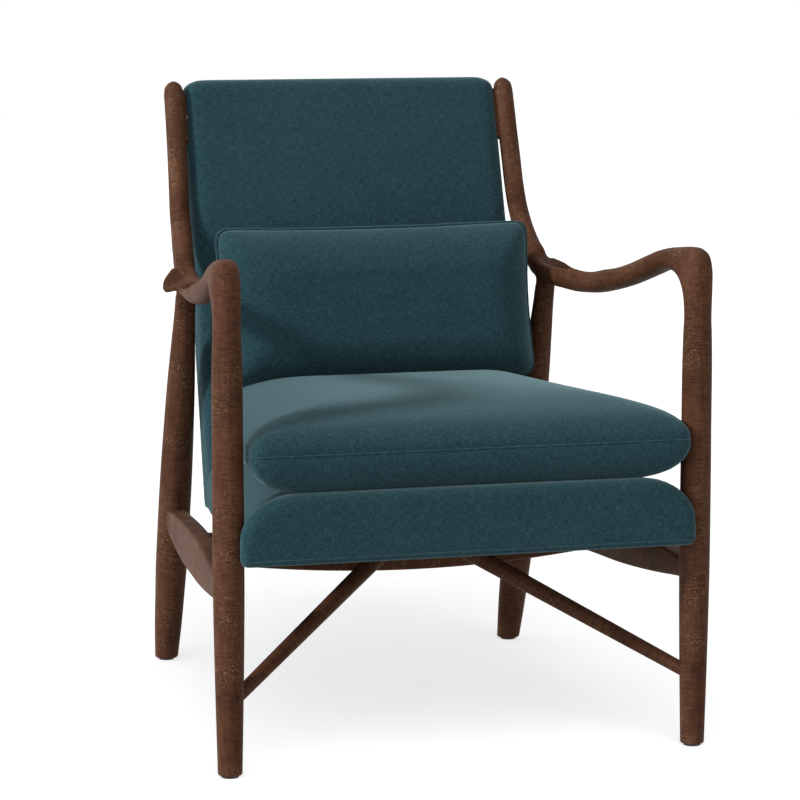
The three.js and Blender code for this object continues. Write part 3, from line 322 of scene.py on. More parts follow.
def clothMaterial(name, look):
    # plain weave, projected on whichever plane faces the surface, with slubs along warp and weft
    material, tree, shader = newMaterial(name)
    texture = addNode(tree, "TexCoord").outputs
    x, y, z = addNode(tree, "SeparateXYZ", {0: texture["Object"]}).outputs
    facing = addNode(tree, "SeparateXYZ", {0: texture["Normal"]}).outputs
    size = [maths(tree, "ABSOLUTE", part) for part in facing]
    isTop = maths(tree, "GREATER_THAN", size[2], maths(tree, "MAXIMUM", size[0], size[1]))
    isSide = maths(tree, "GREATER_THAN", size[0], maths(tree, "MAXIMUM", size[1], size[2]))
    across = addNode(tree, "Mix", {0: isSide, 2: x, 3: y}).outputs[0]
    upward = addNode(tree, "Mix", {0: isTop, 2: z, 3: y}).outputs[0]
    flat = addNode(tree, "CombineXYZ", {0: across, 1: upward}).outputs[0]
    long, wide = 1 / look["slubLong"], 1 / look["slubWide"]
    slubs = [noise(tree, flat, 1, 2, stretch) for stretch in ((long, wide, 1), (wide, long, 1))]
    turns = math.pi / look["thread"]
    waves = [maths(tree, "SINE", maths(tree, "MULTIPLY", run, turns)) for run in (across, upward)]
    weave = maths(tree, "MULTIPLY", *waves)
    parts = maths(tree, "ADD", *slubs), noise(tree, texture["Object"], *look["cloud"]), weave
    tone = weightedSum(tree, *zip(parts, look["shares"]))
    height = maths(tree, "ADD", weave, maths(tree, "MULTIPLY", tone, 2))
    fillNode(tree, shader, {
        "Base Color": ramp(tree, tone, look["tones"]), "Roughness": look["rough"],
        "Specular IOR Level": look["specular"], "Sheen Weight": look["sheen"],
        "Sheen Roughness": look["sheenRough"], "Sheen Tint": look["sheenTint"],
        "Normal": bump(tree, height, *look["bump"]),
    })
    return material


def plainMaterial(name, dark, light, roughness, grainScale, metallic=0):
    # a finish with fine mottling, for the small and hidden pieces
    material, tree, shader = newMaterial(name)
    tone = noise(tree, addNode(tree, "TexCoord").outputs["Object"], grainScale, 4)
    fillNode(tree, shader, {
        "Base Color": ramp(tree, tone, [(0.35, dark), (0.65, light)]), "Roughness": roughness,
        "Metallic": metallic, "Normal": bump(tree, tone, 0.4, 0.0002),
    })
    return material


walnut = woodMaterial("stained walnut", woodLook)
cloth = clothMaterial("teal linen weave", clothLook)
beech = plainMaterial("bare beech", (0.42, 0.28, 0.15), (0.56, 0.4, 0.23), 0.7, 60)
steel = plainMaterial("zinc-plated steel", (0.42, 0.42, 0.43), (0.58, 0.58, 0.6), 0.35, 400, metallic=1)
print("materials made")


# ---- camera, light and floor
studio = {
    "cameraPlace": (-1.0898, -4.041, 1.031), "azimuth": -15.11, "pitch": 8.36, "lens": 141.17,
    # each light's source, strength and angle
    "key": ((-0.86, -0.17, 0.48), 2.2, 9), "wash": ((-0.15, -0.72, 0.68), 2.6, 60),
    "domeLight": 0.55, "domeLeft": 0.88, "domeFront": 0.62,
    "floorRadius": 14, "floorSides": 96, "floorColour": 0.42, "floorLift": 0.67,
}


def seenDirectly(tree):
    # 1 for what the camera sees, also in a reflection or through glass
    path = addNode(tree, "LightPath").outputs
    seen = maths(tree, "MAXIMUM", path["Is Camera Ray"], path["Is Glossy Ray"])
    return maths(tree, "MAXIMUM", seen, path["Is Transmission Ray"])


def addSun(name, source, strength, angle):
    light = bpy.data.objects.new(name, bpy.data.lights.new(name, "SUN"))
    light.data.energy = strength
    light.data.angle = math.radians(angle)
    light.rotation_euler = Vector(source).to_track_quat("Z", "Y").to_euler()
    scene.collection.objects.link(light)
    return light


def makeStudio(v):
    camera = bpy.data.objects.new("camera", bpy.data.cameras.new("camera"))
    camera.data.lens = v["lens"]
    camera.data.clip_end = 200
    camera.location = v["cameraPlace"]
    camera.rotation_euler = (math.radians(90 - v["pitch"]), 0, math.radians(v["azimuth"]))
    scene.collection.objects.link(camera)
    scene.camera = camera
    key, wash = addSun("key light", *v["key"]), addSun("floor light", *v["wash"])

    world = bpy.data.worlds.new("studio")
    world.use_nodes = True
    tree = world.node_tree
    # the dome is brighter on the left, where the key light stands, and in front
    x, y, _ = addNode(tree, "SeparateXYZ", {0: addNode(tree, "TexCoord").outputs["Generated"]}).outputs
    dome = maths(tree, "ADD", weightedSum(tree, (x, -v["domeLeft"]), (y, -v["domeFront"])), 1)
    dome = maths(tree, "MULTIPLY", maths(tree, "MAXIMUM", dome, 0), v["domeLight"])
    seen = seenDirectly(tree)
    dome = maths(tree, "MULTIPLY", dome, maths(tree, "SUBTRACT", 1, seen))
    light = {"Color": white, "Strength": maths(tree, "ADD", seen, dome)}
    fillNode(tree, tree.nodes["Background"], light)
    scene.world = world

    rim = [(v["floorRadius"] * math.cos(a), v["floorRadius"] * math.sin(a), 0)
           for a in np.linspace(0, 2 * math.pi, v["floorSides"], endpoint=False)]
    floor = meshObject("floor", rim, [tuple(range(v["floorSides"]))])
    material, tree, shader = newMaterial("pale floor")
    fillNode(tree, shader, {
        "Base Color": (v["floorColour"],) * 3, "Roughness": 0.9, "Specular IOR Level": 0.1,
        "Emission Color": white,
        "Emission Strength": maths(tree, "MULTIPLY", seenDirectly(tree), v["floorLift"]),
    })
    floor.data.materials.append(material)
    # the floor takes the soft shadow of its own wide light and of the dome, not the key's
    for light, state in ((key, "EXCLUDE"), (wash, "INCLUDE")):
        linked = bpy.data.collections.new(f"{light.name} and the floor")
        linked.objects.link(floor)
        light.light_linking.receiver_collection = linked
        linked.collection_objects[0].light_linking.link_state = state
    scene.view_settings.view_transform = "Standard"


makeStudio(studio)
print("studio made")


# ---- wooden frame
grainApart = {"along": 0.9, "across": 0.13}    # so that no member goes on with the grain of another


def setGrain(thing, paths):
    # a point attribute: across, across and along the nearest wooden member, so bands cross its run
    co = coordinates(thing)
    best = np.full(len(co), 1e9)
    grain = np.zeros_like(co)
    for k, path in enumerate(paths):
        path = np.array(path, float)
        lengths = runLengths(path) + grainApart["along"] * k
        for i in range(len(path) - 1):
            a, b = path[i], path[i + 1]
            way = b - a
            share = np.clip(((co - a) @ way) / (way @ way), 0, 1)
            away = co - (a + share[:, None] * way)
            distance = np.linalg.norm(away, axis=1)
            along = unit(way)
            side = unit(np.cross(along, (0, 0.3, 1) if abs(along[2]) < 0.8 else (0, 1, 0)))
            nearer = distance < best
            best[nearer] = distance[nearer]
            grain[nearer, 0] = (away[nearer] @ side) + grainApart["across"] * k
            grain[nearer, 1] = away[nearer] @ np.cross(side, along)
            grain[nearer, 2] = mix(lengths[i], lengths[i + 1], share[nearer])
    attribute = thing.data.attributes.new("grain", "FLOAT_VECTOR", "POINT")
    attribute.data.foreach_set("vector", grain.astype(np.float32).ravel())


frontLeg = {
    "out": 0.305, "width": 0.039, "foot": 0.003, "top": 0.555, "edge": 0.0016,
    "shares": [(0, 0.79), (0.14, 0.88), (0.29, 0.96), (0.42, 1.005), (0.52, 1.01), (0.74, 0.985),
               (0.97, 0.925)],
}
rearLeg = {
    "out": 0.2585, "footBack": 0.66, "rake": 0.311, "width": 0.0454, "top": 0.566, "edge": 0.0016,
    "shares": [(0, 0.725), (0.09, 0.85), (0.19, 0.935), (0.25, 0.98), (0.36, 1), (0.46, 1),
               (0.64, 0.925), (0.76, 0.835), (0.85, 0.725), (0.93, 0.63), (1, 0.6)],
}
arm = {
    "reach": 0.54, "low": 0.547, "top": 0.645, "halfWidth": 0.0175, "endOut": 0.2515,
    "blunt": 0.1, "scoopFrom": -0.75, "scoopOver": 0.55,    # across the ring, from -1 to 1
    # top point depth and height, bottom point depth and height, as shares of reach and rise
    "sides": [
        (-0.033, 0.082, 0.033, 0.082), (-0.034, 0.337, 0.036, 0.235), (-0.036, 0.571, 0.044, 0.347),
        (-0.034, 0.775, 0.059, 0.449), (-0.022, 0.935, 0.078, 0.531), (0.004, 0.992, 0.096, 0.587),
        (0.037, 0.994, 0.119, 0.622), (0.074, 0.974, 0.141, 0.633), (0.115, 0.948, 0.167, 0.617),
        (0.178, 0.89, 0.207, 0.546), (0.259, 0.768, 0.278, 0.429), (0.352, 0.622, 0.363, 0.301),
        (0.444, 0.503, 0.45, 0.194), (0.537, 0.42, 0.537, 0.107), (0.62, 0.41, 0.62, 0.057),
        (0.704, 0.435, 0.704, 0.027), (0.778, 0.41, 0.778, 0.028), (0.843, 0.39, 0.843, 0.033),
        (0.89, 0.42, 0.898, 0.055), (0.925, 0.48, 0.943, 0.11), (0.953, 0.56, 0.98, 0.24),
        (0.981, 0.648, 1.019, 0.434),
    ],
    # plan position, inner half width, outer half width, scoop out of the outer top, roundness
    "plan": [
        (0, 0.99, 0.99, 0, 1), (0, 0.99, 0.99, 0, 0.92), (0, 1, 1, 0, 0.83),
        (0, 1.01, 1.02, 0, 0.77), (0.01, 1.01, 1.02, 0, 0.77), (0.03, 1.01, 1.01, 0, 0.8),
        (0.06, 1, 1, 0, 0.86), (0.1, 0.98, 0.98, 0, 0.9), (0.15, 0.95, 0.95, 0, 0.95),
        (0.21, 0.92, 0.92, 0, 1), (0.29, 0.9, 0.9, 0, 1), (0.37, 0.88, 0.88, 0, 1),
        (0.45, 0.87, 0.87, 0, 1), (0.53, 0.86, 0.87, 0, 1), (0.6, 0.85, 0.9, 0.5, 1),
        (0.67, 0.85, 0.94, 1.1, 1), (0.74, 0.85, 0.95, 1.3, 1), (0.81, 0.86, 0.95, 1.3, 1),
        (0.87, 0.87, 0.94, 1.1, 1), (0.92, 0.86, 0.88, 0.4, 1), (0.96, 0.85, 0.85, 0, 1),
        (1, 0.83, 0.83, 0, 1),
    ],
}
post = {
    "top": 0.832, "leanBack": 0.111, "drawIn": 0.0098, "halfWidth": 0.015,
    # height, depth, inward travel, half width
    "shares": [
        (0.04, 0.1, 0.14, 0.98), (0.086, 0.194, 0.26, 0.96), (0.15, 0.305, 0.38, 0.945),
        (0.216, 0.405, 0.47, 0.935), (0.345, 0.523, 0.62, 0.925), (0.517, 0.64, 0.74, 0.92),
        (0.69, 0.766, 0.85, 0.92), (0.862, 0.892, 0.92, 0.91), (0.93, 0.945, 0.95, 0.9),
        (0.965, 0.972, 0.97, 0.8), (0.988, 0.989, 0.99, 0.5), (1, 1, 1, 0.14),
    ],
}
# The flared rest behind the arm: its rim, from the arm's inner top round the tip to the post,
# as places outward from the middle, back from the front legs' axes, and up, with the thickness there
wing = {
    "rim": [
        (0.258, 0.378, 0.5812, 0.0062), (0.2525, 0.415, 0.579, 0.0062), (0.26, 0.431, 0.5745, 0.0064),
        (0.273, 0.439, 0.5683, 0.0064), (0.285, 0.444, 0.564, 0.006), (0.2945, 0.4475, 0.5612, 0.005),
        (0.2968, 0.455, 0.565, 0.0044), (0.293, 0.468, 0.5725, 0.004), (0.285, 0.482, 0.5795, 0.004),
        (0.2765, 0.499, 0.584, 0.0045), (0.268, 0.517, 0.5875, 0.006), (0.26, 0.532, 0.6, 0.01),
        (0.25, 0.536, 0.604, 0.014), (0.243, 0.52, 0.596, 0.014), (0.242, 0.495, 0.588, 0.014),
        (0.245, 0.46, 0.581, 0.012), (0.25, 0.42, 0.577, 0.009), (0.253, 0.385, 0.576, 0.008),
    ],
    "middle": (0.264, 0.474, 0.5735), "hub": 0.04, "keel": 0.014, "points": 144, "rows": 16, "rimSteps": 9,
}
frameMesh = {
    "sides": 72, "step": 0.003, "voxel": 0.0019,
    # how far the joins of front run, rear leg and wing reach, and how the skin is eased there
    "reach": (0.013, 0.013, 0.0045), "rounds": 45, "ease": 0.55, "gain": 1.6,
    "loose": 0.0022,    # as near as this to a second part, the skin isn't laid back on the first
}


def legRings(v, axis, sides):
    rings = []
    for rise, width in v["shares"]:
        centre = axis(mix(frontLeg["foot"], v["top"], rise))
        radius = 0.5 * v["width"] * width
        rings.append(ovalRing(centre, (radius, 0, 0), (0, -radius, 0), sides))
    return rings


def roundFoot(rings, edge):
    # the lowest ring goes in by the edge radius, with a ring between, and the first wide one goes up
    foot = rings[0]
    middle = foot.mean(axis=0)
    radius = np.linalg.norm(foot[0] - middle)
    inner = middle + (foot - middle) * (1 - edge / radius)
    between = middle + (foot - middle) * (1 - 0.3 * edge / radius) + np.array((0, 0, 0.3 * edge))
    return np.concatenate([[inner, between, foot + np.array((0, 0, edge))], rings[1:]])


def frontAxis(z):
    return np.array((frontLeg["out"], legBack, z))


def rearAxis(z):
    return np.array((rearLeg["out"], legBack + rearLeg["footBack"] - rearLeg["rake"] * z, z))


def armRings(sides):
    rings = []
    angles = 2 * np.pi * np.arange(sides) / sides
    for side, (plan, inner, outer, scoop, roundness) in zip(arm["sides"], arm["plan"]):
        top, low = (np.array([0, legBack + depth * arm["reach"], mix(arm["low"], arm["top"], height)])
                    for depth, height in (side[:2], side[2:]))
        middle = 0.5 * (top + low)
        middle[0] = mix(frontLeg["out"], arm["endOut"], plan)
        c, s = (np.sign(wave) * np.abs(wave) ** roundness for wave in (np.cos(angles), np.sin(angles)))
        # a scooped ring keeps a blunt outer edge
        blunt = np.minimum(c, 1 - arm["blunt"] * min(scoop, 1))
        sideways = arm["halfWidth"] * np.where(c > 0, outer, inner) * blunt
        outward = np.clip((c - arm["scoopFrom"]) / arm["scoopOver"], 0, 1)
        rise = s * (1 - scoop * (s > 0) * outward * outward * (3 - 2 * outward))
        rings.append(middle + sideways[:, None] * (1, 0, 0) + rise[:, None] * (0.5 * (top - low)))
    return rings


def postRings(start, sides):
    line = [start]
    for rise, back, inward, _ in post["shares"]:
        line.append(np.array([start[0] - post["drawIn"] * inward, start[1] + post["leanBack"] * back,
                              mix(start[2], post["top"], rise)]))
    rings = []
    for i, row in enumerate(post["shares"]):
        way = unit(line[min(i + 2, len(line) - 1)] - line[i])
        radius = post["halfWidth"] * row[3]
        up = unit((0, -way[2], way[1])) * radius
        rings.append(ovalRing(line[i + 1], (radius, 0, 0), up, sides))
    return rings


def voxelUnion(name, things, voxel):
    # one skin round several closed meshes that run into each other
    vertices, faces = [], []
    for thing in things:
        start = len(vertices)
        vertices += [v.co for v in thing.data.vertices]
        faces += [tuple(start + i for i in p.vertices) for p in thing.data.polygons]
    return voxelSkin(meshObject(name, vertices, faces), voxel)


def closedCurve(points, count):
    # a smooth closed line through the points, with its places evenly spread
    points = np.array(points, float)
    fine = []
    for i in range(len(points)):
        before, a, b, after = (points[(i + k) % len(points)] for k in (-1, 0, 1, 2))
        for s in np.arange(12) / 12:
            fine.append(0.5 * (2 * a + (b - before) * s + (2 * before - 5 * a + 4 * b - after) * s**2
                               + (3 * a - before - 3 * b + after) * s**3))
    fine = np.array(fine + fine[:1])
    lengths = runLengths(fine[:, :3])
    places = np.linspace(0, lengths[-1], count, endpoint=False)
    return np.column_stack([np.interp(places, lengths, fine[:, k]) for k in range(fine.shape[1])])


def makeWing(v):
    # a dished leaf: rows from the middle of its top, over the rounded rim, to the middle below
    rim = closedCurve(v["rim"], v["points"])
    start = np.array((0, legBack, 0))
    edge, half, middle = start + rim[:, :3], 0.5 * rim[:, 3:4], start + v["middle"]
    outward = edge - middle
    outward /= np.linalg.norm(outward, axis=1)[:, None]
    up = np.array((0, 0, 1))
    inner = edge - half * outward
    shares = np.linspace(v["hub"], 1, v["rows"])
    rows = [mix(middle, inner, share) for share in shares]
    for angle in np.linspace(0, math.pi, v["rimSteps"])[1:]:
        rows.append(inner + half * (math.sin(angle) * outward + (math.cos(angle) - 1) * up))
    below = middle - v["keel"] * up
    rows += [mix(below, rows[-1], share) for share in shares[-2::-1]]
    return ringMesh("wing", rows)


def softenJoin(thing, surfaces, v):
    # the skin goes back onto the true surfaces, except near a join, where it is eased to a hollow curve
    co = coordinates(thing)
    nearest = np.empty((len(surfaces), len(co), 3))
    distance = np.empty((len(surfaces), len(co)))
    for k, tree in enumerate(surfaces):
        for i, point in enumerate(co):
            nearest[k, i], _, _, distance[k, i] = tree.find_nearest(point)
    closest = distance.argmin(axis=0)
    everyone = np.arange(len(co))
    reaches = np.array(v["reach"])
    share = 1 - distance / np.minimum(reaches[:, None], reaches[closest][None, :])
    share[closest, everyone] = 0
    weight = np.clip(share.max(axis=0), 0, 1)
    distance[closest, everyone] = 1
    co = np.where((distance.min(axis=0) > v["loose"])[:, None], nearest[closest, everyone], co)
    edges = edgeArray(thing)
    near = weight > 0
    local = edges[near[edges[:, 0]] | near[edges[:, 1]]]
    pull = v["ease"] * np.minimum(1, v["gain"] * weight)[:, None]
    for _ in range(v["rounds"]):
        co[near] += (pull * (neighbourMean(local, co) - co))[near]
    setCoordinates(thing, co)


def makeSideFrame(v):
    run = legRings(frontLeg, frontAxis, v["sides"]) + armRings(v["sides"])
    run += postRings(run[-1].mean(axis=0), v["sides"])
    rear = legRings(rearLeg, rearAxis, v["sides"])
    parts = [
        ringMesh("tube", roundFoot(smoothRings(run, v["step"]), frontLeg["edge"])),
        ringMesh("rear tube", roundFoot(smoothRings(rear, v["step"]), rearLeg["edge"])),
        makeWing(wing),
    ]
    whole = voxelUnion("side_frame_right", parts, v["voxel"])
    softenJoin(whole, [treeOf(part) for part in parts], v)
    setGrain(whole, [[ring.mean(axis=0) for ring in run], [rearAxis(0), rearAxis(rearLeg["top"])]])
    for part in parts:
        bpy.data.objects.remove(part)
    return whole


def finishWood(thing, pieces):
    thing.data.materials.append(walnut)
    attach(thing, "frame")
    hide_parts(*pieces)


def finishPair(right, *pieces):
    # the right-hand piece and its mirrored twin, each in place of its own solids
    for thing, side in ((right, "right"), (mirrorCopy(right), "left")):
        finishWood(thing, [f"{piece}_{side}" for piece in pieces])


sideFrame = makeSideFrame(frameMesh)
finishPair(sideFrame, "front_leg", "armrest", "back_post", "rear_leg")
print("side frames made,", len(sideFrame.data.polygons), "faces each")

sideRail = {
    "middle": 0.227, "height": 0.058, "thickness": 0.026, "edge": 0.0042, "step": 0.004,
    # place along the rail from leg axis to leg axis, top and bottom from the middle height
    "shares": [
        (0, 0.24, -0.12), (0.06, 0.32, -0.18), (0.14, 0.385, -0.275), (0.24, 0.44, -0.375),
        (0.36, 0.48, -0.465), (0.48, 0.475, -0.51), (0.6, 0.42, -0.55), (0.7, 0.36, -0.555),
        (0.8, 0.285, -0.52), (0.9, 0.205, -0.44), (0.975, 0.13, -0.36),
    ],
}


def makeSideRail(v):
    foot, head = frontAxis(v["middle"]), rearAxis(v["middle"])
    way = unit(head - foot)
    across = unit((way[1], -way[0], 0))
    rings = []
    for along, top, bottom in v["shares"]:
        high, low = v["middle"] + v["height"] * top, v["middle"] + v["height"] * bottom
        centre = mix(foot, head, along)
        centre[2] = 0.5 * (high + low)
        rings.append(boxRing(centre, across, (0, 0, 1), v["thickness"], high - low, v["edge"]))
    thing = ringMesh("side_rail_right_wood", smoothRings(rings, v["step"]))
    setGrain(thing, [[foot, head]])
    return thing


finishPair(makeSideRail(sideRail), "side_rail")

crossRails = {
    "thickness": 0.028, "edge": 0.0045, "reachIn": 0.008, "rings": 49, "step": 0.006,
    # depth, its share at the ends, and how far the top falls between these places from the middle
    "front_cross_rail": (0.054, 0.52, 0), "rear_cross_rail": (0.036, 1, 0.0262),
    "fallFrom": 0.165, "fallTo": 0.205,
}


def makeCrossRail(name, v):
    low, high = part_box(name)
    depth, endShare, fall = v[name]
    half = frontLeg["out"]
    reach = high.x - v["reachIn"]
    back = 0.5 * (low.y + high.y)
    rings = []
    for x in np.linspace(-reach, reach, v["rings"]):
        height = depth * (1 - (1 - endShare) * (x / half) ** 2)
        foot = high.z - height
        height -= fall * np.clip((abs(x) - v["fallFrom"]) / (v["fallTo"] - v["fallFrom"]), 0, 1)
        centre = (x, back, foot + 0.5 * height)
        rings.append(boxRing(centre, (0, 1, 0), (0, 0, 1), v["thickness"], height, v["edge"]))
    thing = ringMesh(f"{name}_wood", smoothRings(rings, v["step"]))
    setGrain(thing, [[(-half, back, high.z), (half, back, high.z)]])
    finishWood(thing, [name])


makeCrossRail("front_cross_rail", crossRails)
makeCrossRail("rear_cross_rail", crossRails)

stretcher = {
    "footHeight": 0.092, "footWidth": 0.017, "headWidth": 0.0235, "headOut": 0.035, "headDrop": 0.0138,
    "headIn": 0.012, "sides": 48, "rings": 40,
}


def makeStretcher(v):
    railLow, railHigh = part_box("front_cross_rail")
    foot = frontAxis(v["footHeight"])
    face = 0.5 * (railLow.y + railHigh.y) - 0.5 * crossRails["thickness"]
    head = np.array([v["headOut"], face, railHigh.z - v["headDrop"]])
    way = unit(head - foot)
    end = head + v["headIn"] * way
    up = unit(np.array((0, 0, 1)) - way * way[2])
    across = np.cross(way, up)
    rings = []
    for share in np.linspace(0, 1, v["rings"]):
        radius = 0.5 * mix(v["footWidth"], v["headWidth"], share)
        rings.append(ovalRing(mix(foot, end, share), across * radius, up * radius, v["sides"]))
    thing = ringMesh("stretcher_right_wood", rings)
    setGrain(thing, [[foot, end]])
    return thing


finishPair(makeStretcher(stretcher), "stretcher")
print("rails and stretchers made")

spacer = {
    "height": 0.072, "depth": 0.02, "setBack": 0.004, "inner": 0.2262, "outer": 0.239, "edge": 0.0015,
    "lean": math.radians(19.3),
}


def makeSpacer(v):
    # a block between post and back, leaning with the post
    low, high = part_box("back_spacer_right")
    middle = 0.5 * (low + high)
    up = np.array((0, math.sin(v["lean"]), math.cos(v["lean"])))
    across = np.array((0, up[2], -up[1]))
    centre = np.array((0, middle.y, middle.z)) + v["setBack"] * across
    rings = [boxRing(centre + np.array((x, 0, 0)), across, up, v["depth"], v["height"], v["edge"])
             for x in np.linspace(v["inner"], v["outer"], 4)]
    thing = ringMesh("back_spacer_right_wood", rings)
    setGrain(thing, [[centre - 0.05 * up, centre + 0.05 * up]])
    return thing


finishPair(makeSpacer(spacer), "back_spacer")


# ---- upholstery
deck = {
    "forward": 0.038, "floorHeight": 0.269, "tilt": math.radians(2.3),
    "height": 0.089, "depth": 0.494, "lipHalf": 0.296, "frontHalf": 0.282, "rearHalf": 0.238,
    "lipDepth": 0.0178, "shoulderWide": 0.0735, "shoulderHigh": 0.057, "edge": 0.0125, "lowCorner": 0.009,
    "floorInset": 0.45, "lipCorner": 0.8, "lipBack": [(-0.0002, 0.0006), (0.002, 0.004)], "lipEnd": 0.006,
    "bodyFrom": 0.03, "rearEdge": 0.004, "rearLean": 0.0209, "voxel": 0.0038, "rounds": 2,
    "weltRadius": 0.0016, "weltSides": 10, "weltRise": 0.0075, "weltEnd": 0.002, "weltPoints": 140,
}
deckPlace = leaning((0, legBack - deck["forward"], deck["floorHeight"]), -deck["tilt"])


def deckRing(y, inset, half, v):
    # one section across the deck: a flat floor, small lower corners, sides, broad shoulders and a flat top
    top, floor = v["height"] - inset, v["floorInset"] * inset
    wide, high, low = v["shoulderWide"], v["shoulderHigh"], v["lowCorner"]
    lean = v["rearLean"] * (max(y, 0) / v["depth"]) ** 4
    right = [((half - low) * share, floor) for share in np.linspace(0, 1, 14)[:-1]]
    right += [(half - low + low * s, floor + low * (1 - c)) for s, c in quarterTurn(6)[:-1]]
    right += [(half, mix(floor + low, top - high, share)) for share in np.linspace(0, 1, 6)[:-1]]
    right += [(half + wide * (c - 1), top + high * (s - 1)) for s, c in quarterTurn(24)]
    right += [((half - wide) * share, top) for share in np.linspace(1, 0, 14)[1:]]
    return [(x, y + lean * z / v["height"], z) for x, z in mirrored(right)]


def makeDeck(v):
    def halfAt(y):
        return mix(v["frontHalf"], v["rearHalf"], y / v["depth"])

    edge, lip, rear = v["edge"], v["lipDepth"], v["rearEdge"]
    # depth, inset of the top and half width: over the lip, behind it, along the body and over the rear edge
    rows = [(edge * (1 - c), edge * (1 - s), v["lipHalf"] - v["lipCorner"] * edge * (1 - s))
            for s, c in quarterTurn(9)]
    rows += [(lip + behind, 0, v["lipHalf"] - inset) for behind, inset in v["lipBack"]]
    rows.append((lip + v["lipEnd"], 0, halfAt(lip)))
    rows += [(y, 0, halfAt(y)) for y in np.linspace(v["bodyFrom"], v["depth"] - rear, 24)]
    rows += [(v["depth"] - 0.25 * rear, 0.25 * rear, v["rearHalf"] - 0.25 * rear),
             (v["depth"], rear, v["rearHalf"] - rear)]
    return ringMesh("deck_upholstery", [deckRing(y, inset, half, v) for y, inset, half in rows])


def evenSkin(thing, v):
    voxelSkin(thing, v["voxel"])
    edges = edgeArray(thing)
    co = coordinates(thing)
    for _ in range(v["rounds"]):
        co += 0.5 * (neighbourMean(edges, co) - co)
    setCoordinates(thing, co)


def finishCloth(thing, body, replaced):
    thing.data.materials.clear()
    thing.data.materials.append(cloth)
    thing.data.shade_smooth()
    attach(thing, body)
    if replaced:
        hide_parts(*replaced)


def pipingTree():
    # sweeps a round cord along the edges of a mesh
    tree = bpy.data.node_groups.new("cord along a seam", "GeometryNodeTree")
    for name, kind in (("Geometry", "Geometry"), ("Radius", "Float"), ("Sides", "Int"), ("Spacing", "Float"),
                       ("Material", "Material")):
        tree.interface.new_socket(name, in_out="INPUT", socket_type="NodeSocket" + kind)
    tree.interface.new_socket("Geometry", in_out="OUTPUT", socket_type="NodeSocketGeometry")
    toCurve, resample, profile, sweep, realize, paint = (
        tree.nodes.new("GeometryNode" + kind) for kind in (
            "MeshToCurve", "ResampleCurve", "CurvePrimitiveCircle", "CurveToMesh", "RealizeInstances",
            "SetMaterial"))
    given = tree.nodes.new("NodeGroupInput").outputs
    result = tree.nodes.new("NodeGroupOutput").inputs
    resample.mode = "LENGTH"
    sweep.inputs["Fill Caps"].default_value = True
    for start, end in (
        (given["Geometry"], toCurve.inputs[0]), (toCurve.outputs[0], resample.inputs["Curve"]),
        (given["Spacing"], resample.inputs["Length"]), (given["Radius"], profile.inputs["Radius"]),
        (given["Sides"], profile.inputs["Resolution"]), (resample.outputs[0], sweep.inputs["Curve"]),
        (profile.outputs["Curve"], sweep.inputs["Profile Curve"]), (sweep.outputs[0], realize.inputs[0]),
        (realize.outputs[0], paint.inputs["Geometry"]), (given["Material"], paint.inputs["Material"]),
        (paint.outputs[0], result[0]),
    ):
        tree.links.new(start, end)
    return tree


cordTree = pipingTree()


def cordAlong(name, path, radius, sides, closed=True, spacing=0.003):
    count = len(path)
    edges = [(i, (i + 1) % count) for i in range(count if closed else count - 1)]
    thing = meshObject(name, path, [], edges)
    modifier = thing.modifiers.new("cord", "NODES")
    modifier.node_group = cordTree
    values = {"Radius": radius, "Sides": sides, "Spacing": spacing, "Material": cloth}
    for item in cordTree.interface.items_tree:
        if item.item_type == "SOCKET" and item.in_out == "INPUT" and item.name in values:
            modifier[item.identifier] = values[item.name]
    return evaluated(thing)


# Loose cushions
def cushionOutline(size, perCorner=12, perSide=40):
    # a rectangle with round corners and sides that are drawn in a little, seen from above
    radius = size["radius"]
    halfFront, halfRear = size["halfFront"] - radius, size["halfRear"] - radius
    front, rear = size["front"] + radius, size["rear"] - radius
    centres = np.array([(halfFront, front), (halfRear, rear), (-halfRear, rear), (-halfFront, front)])

    def onCorner(corner, share):
        angle = 0.5 * math.pi * (corner - 1 + share)
        return centres[corner % 4] + radius * np.array((math.cos(angle), math.sin(angle)))

    points = []
    for corner in range(4):
        points += [onCorner(corner, share) for share in np.linspace(0, 1, perCorner)]
        leave, arrive = onCorner(corner, 1), onCorner(corner + 1, 0)
        inward = unit((leave[1] - arrive[1], arrive[0] - leave[0]))
        for share in np.linspace(0, 1, perSide)[1:-1]:
            points.append(mix(leave, arrive, share) + size["drawIn"] * math.sin(math.pi * share) * inward)
    return np.array(points)


def cushionMesh(name, size, above, below, step=0.005):
    # above and below the seam: insets and heights up to the crown, then shares of the width and heights
    outline = cushionOutline(size)
    middle = 0.5 * (size["front"] + size["rear"])
    halfWidth = 0.5 * (size["halfFront"] + size["halfRear"])
    halfDepth = 0.5 * (size["rear"] - size["front"])

    def ringAt(inset, share, height):
        # the underside comes further forward at the front than at the sides
        full = size.get("frontFull", 1) if height < 0 else 1
        insetY = inset * np.where(outline[:, 1] < middle, full, 1)
        x = outline[:, 0] * (1 - inset / halfWidth) * share
        y = middle + (outline[:, 1] - middle) * (1 - insetY / halfDepth) * share
        return np.column_stack([x, y, np.full(len(outline), height)])

    def halfOf(side, crown, width, height):
        rings = [ringAt(inset * width, 1, share * height) for inset, share in side]
        return rings + [ringAt(side[-1][0] * width, share, rise * height) for share, rise in crown]

    rings = halfOf(*below)[::-1] + [ringAt(0, 1, 0)] + halfOf(*above)
    return ringMesh(name, smoothRings(rings, step))


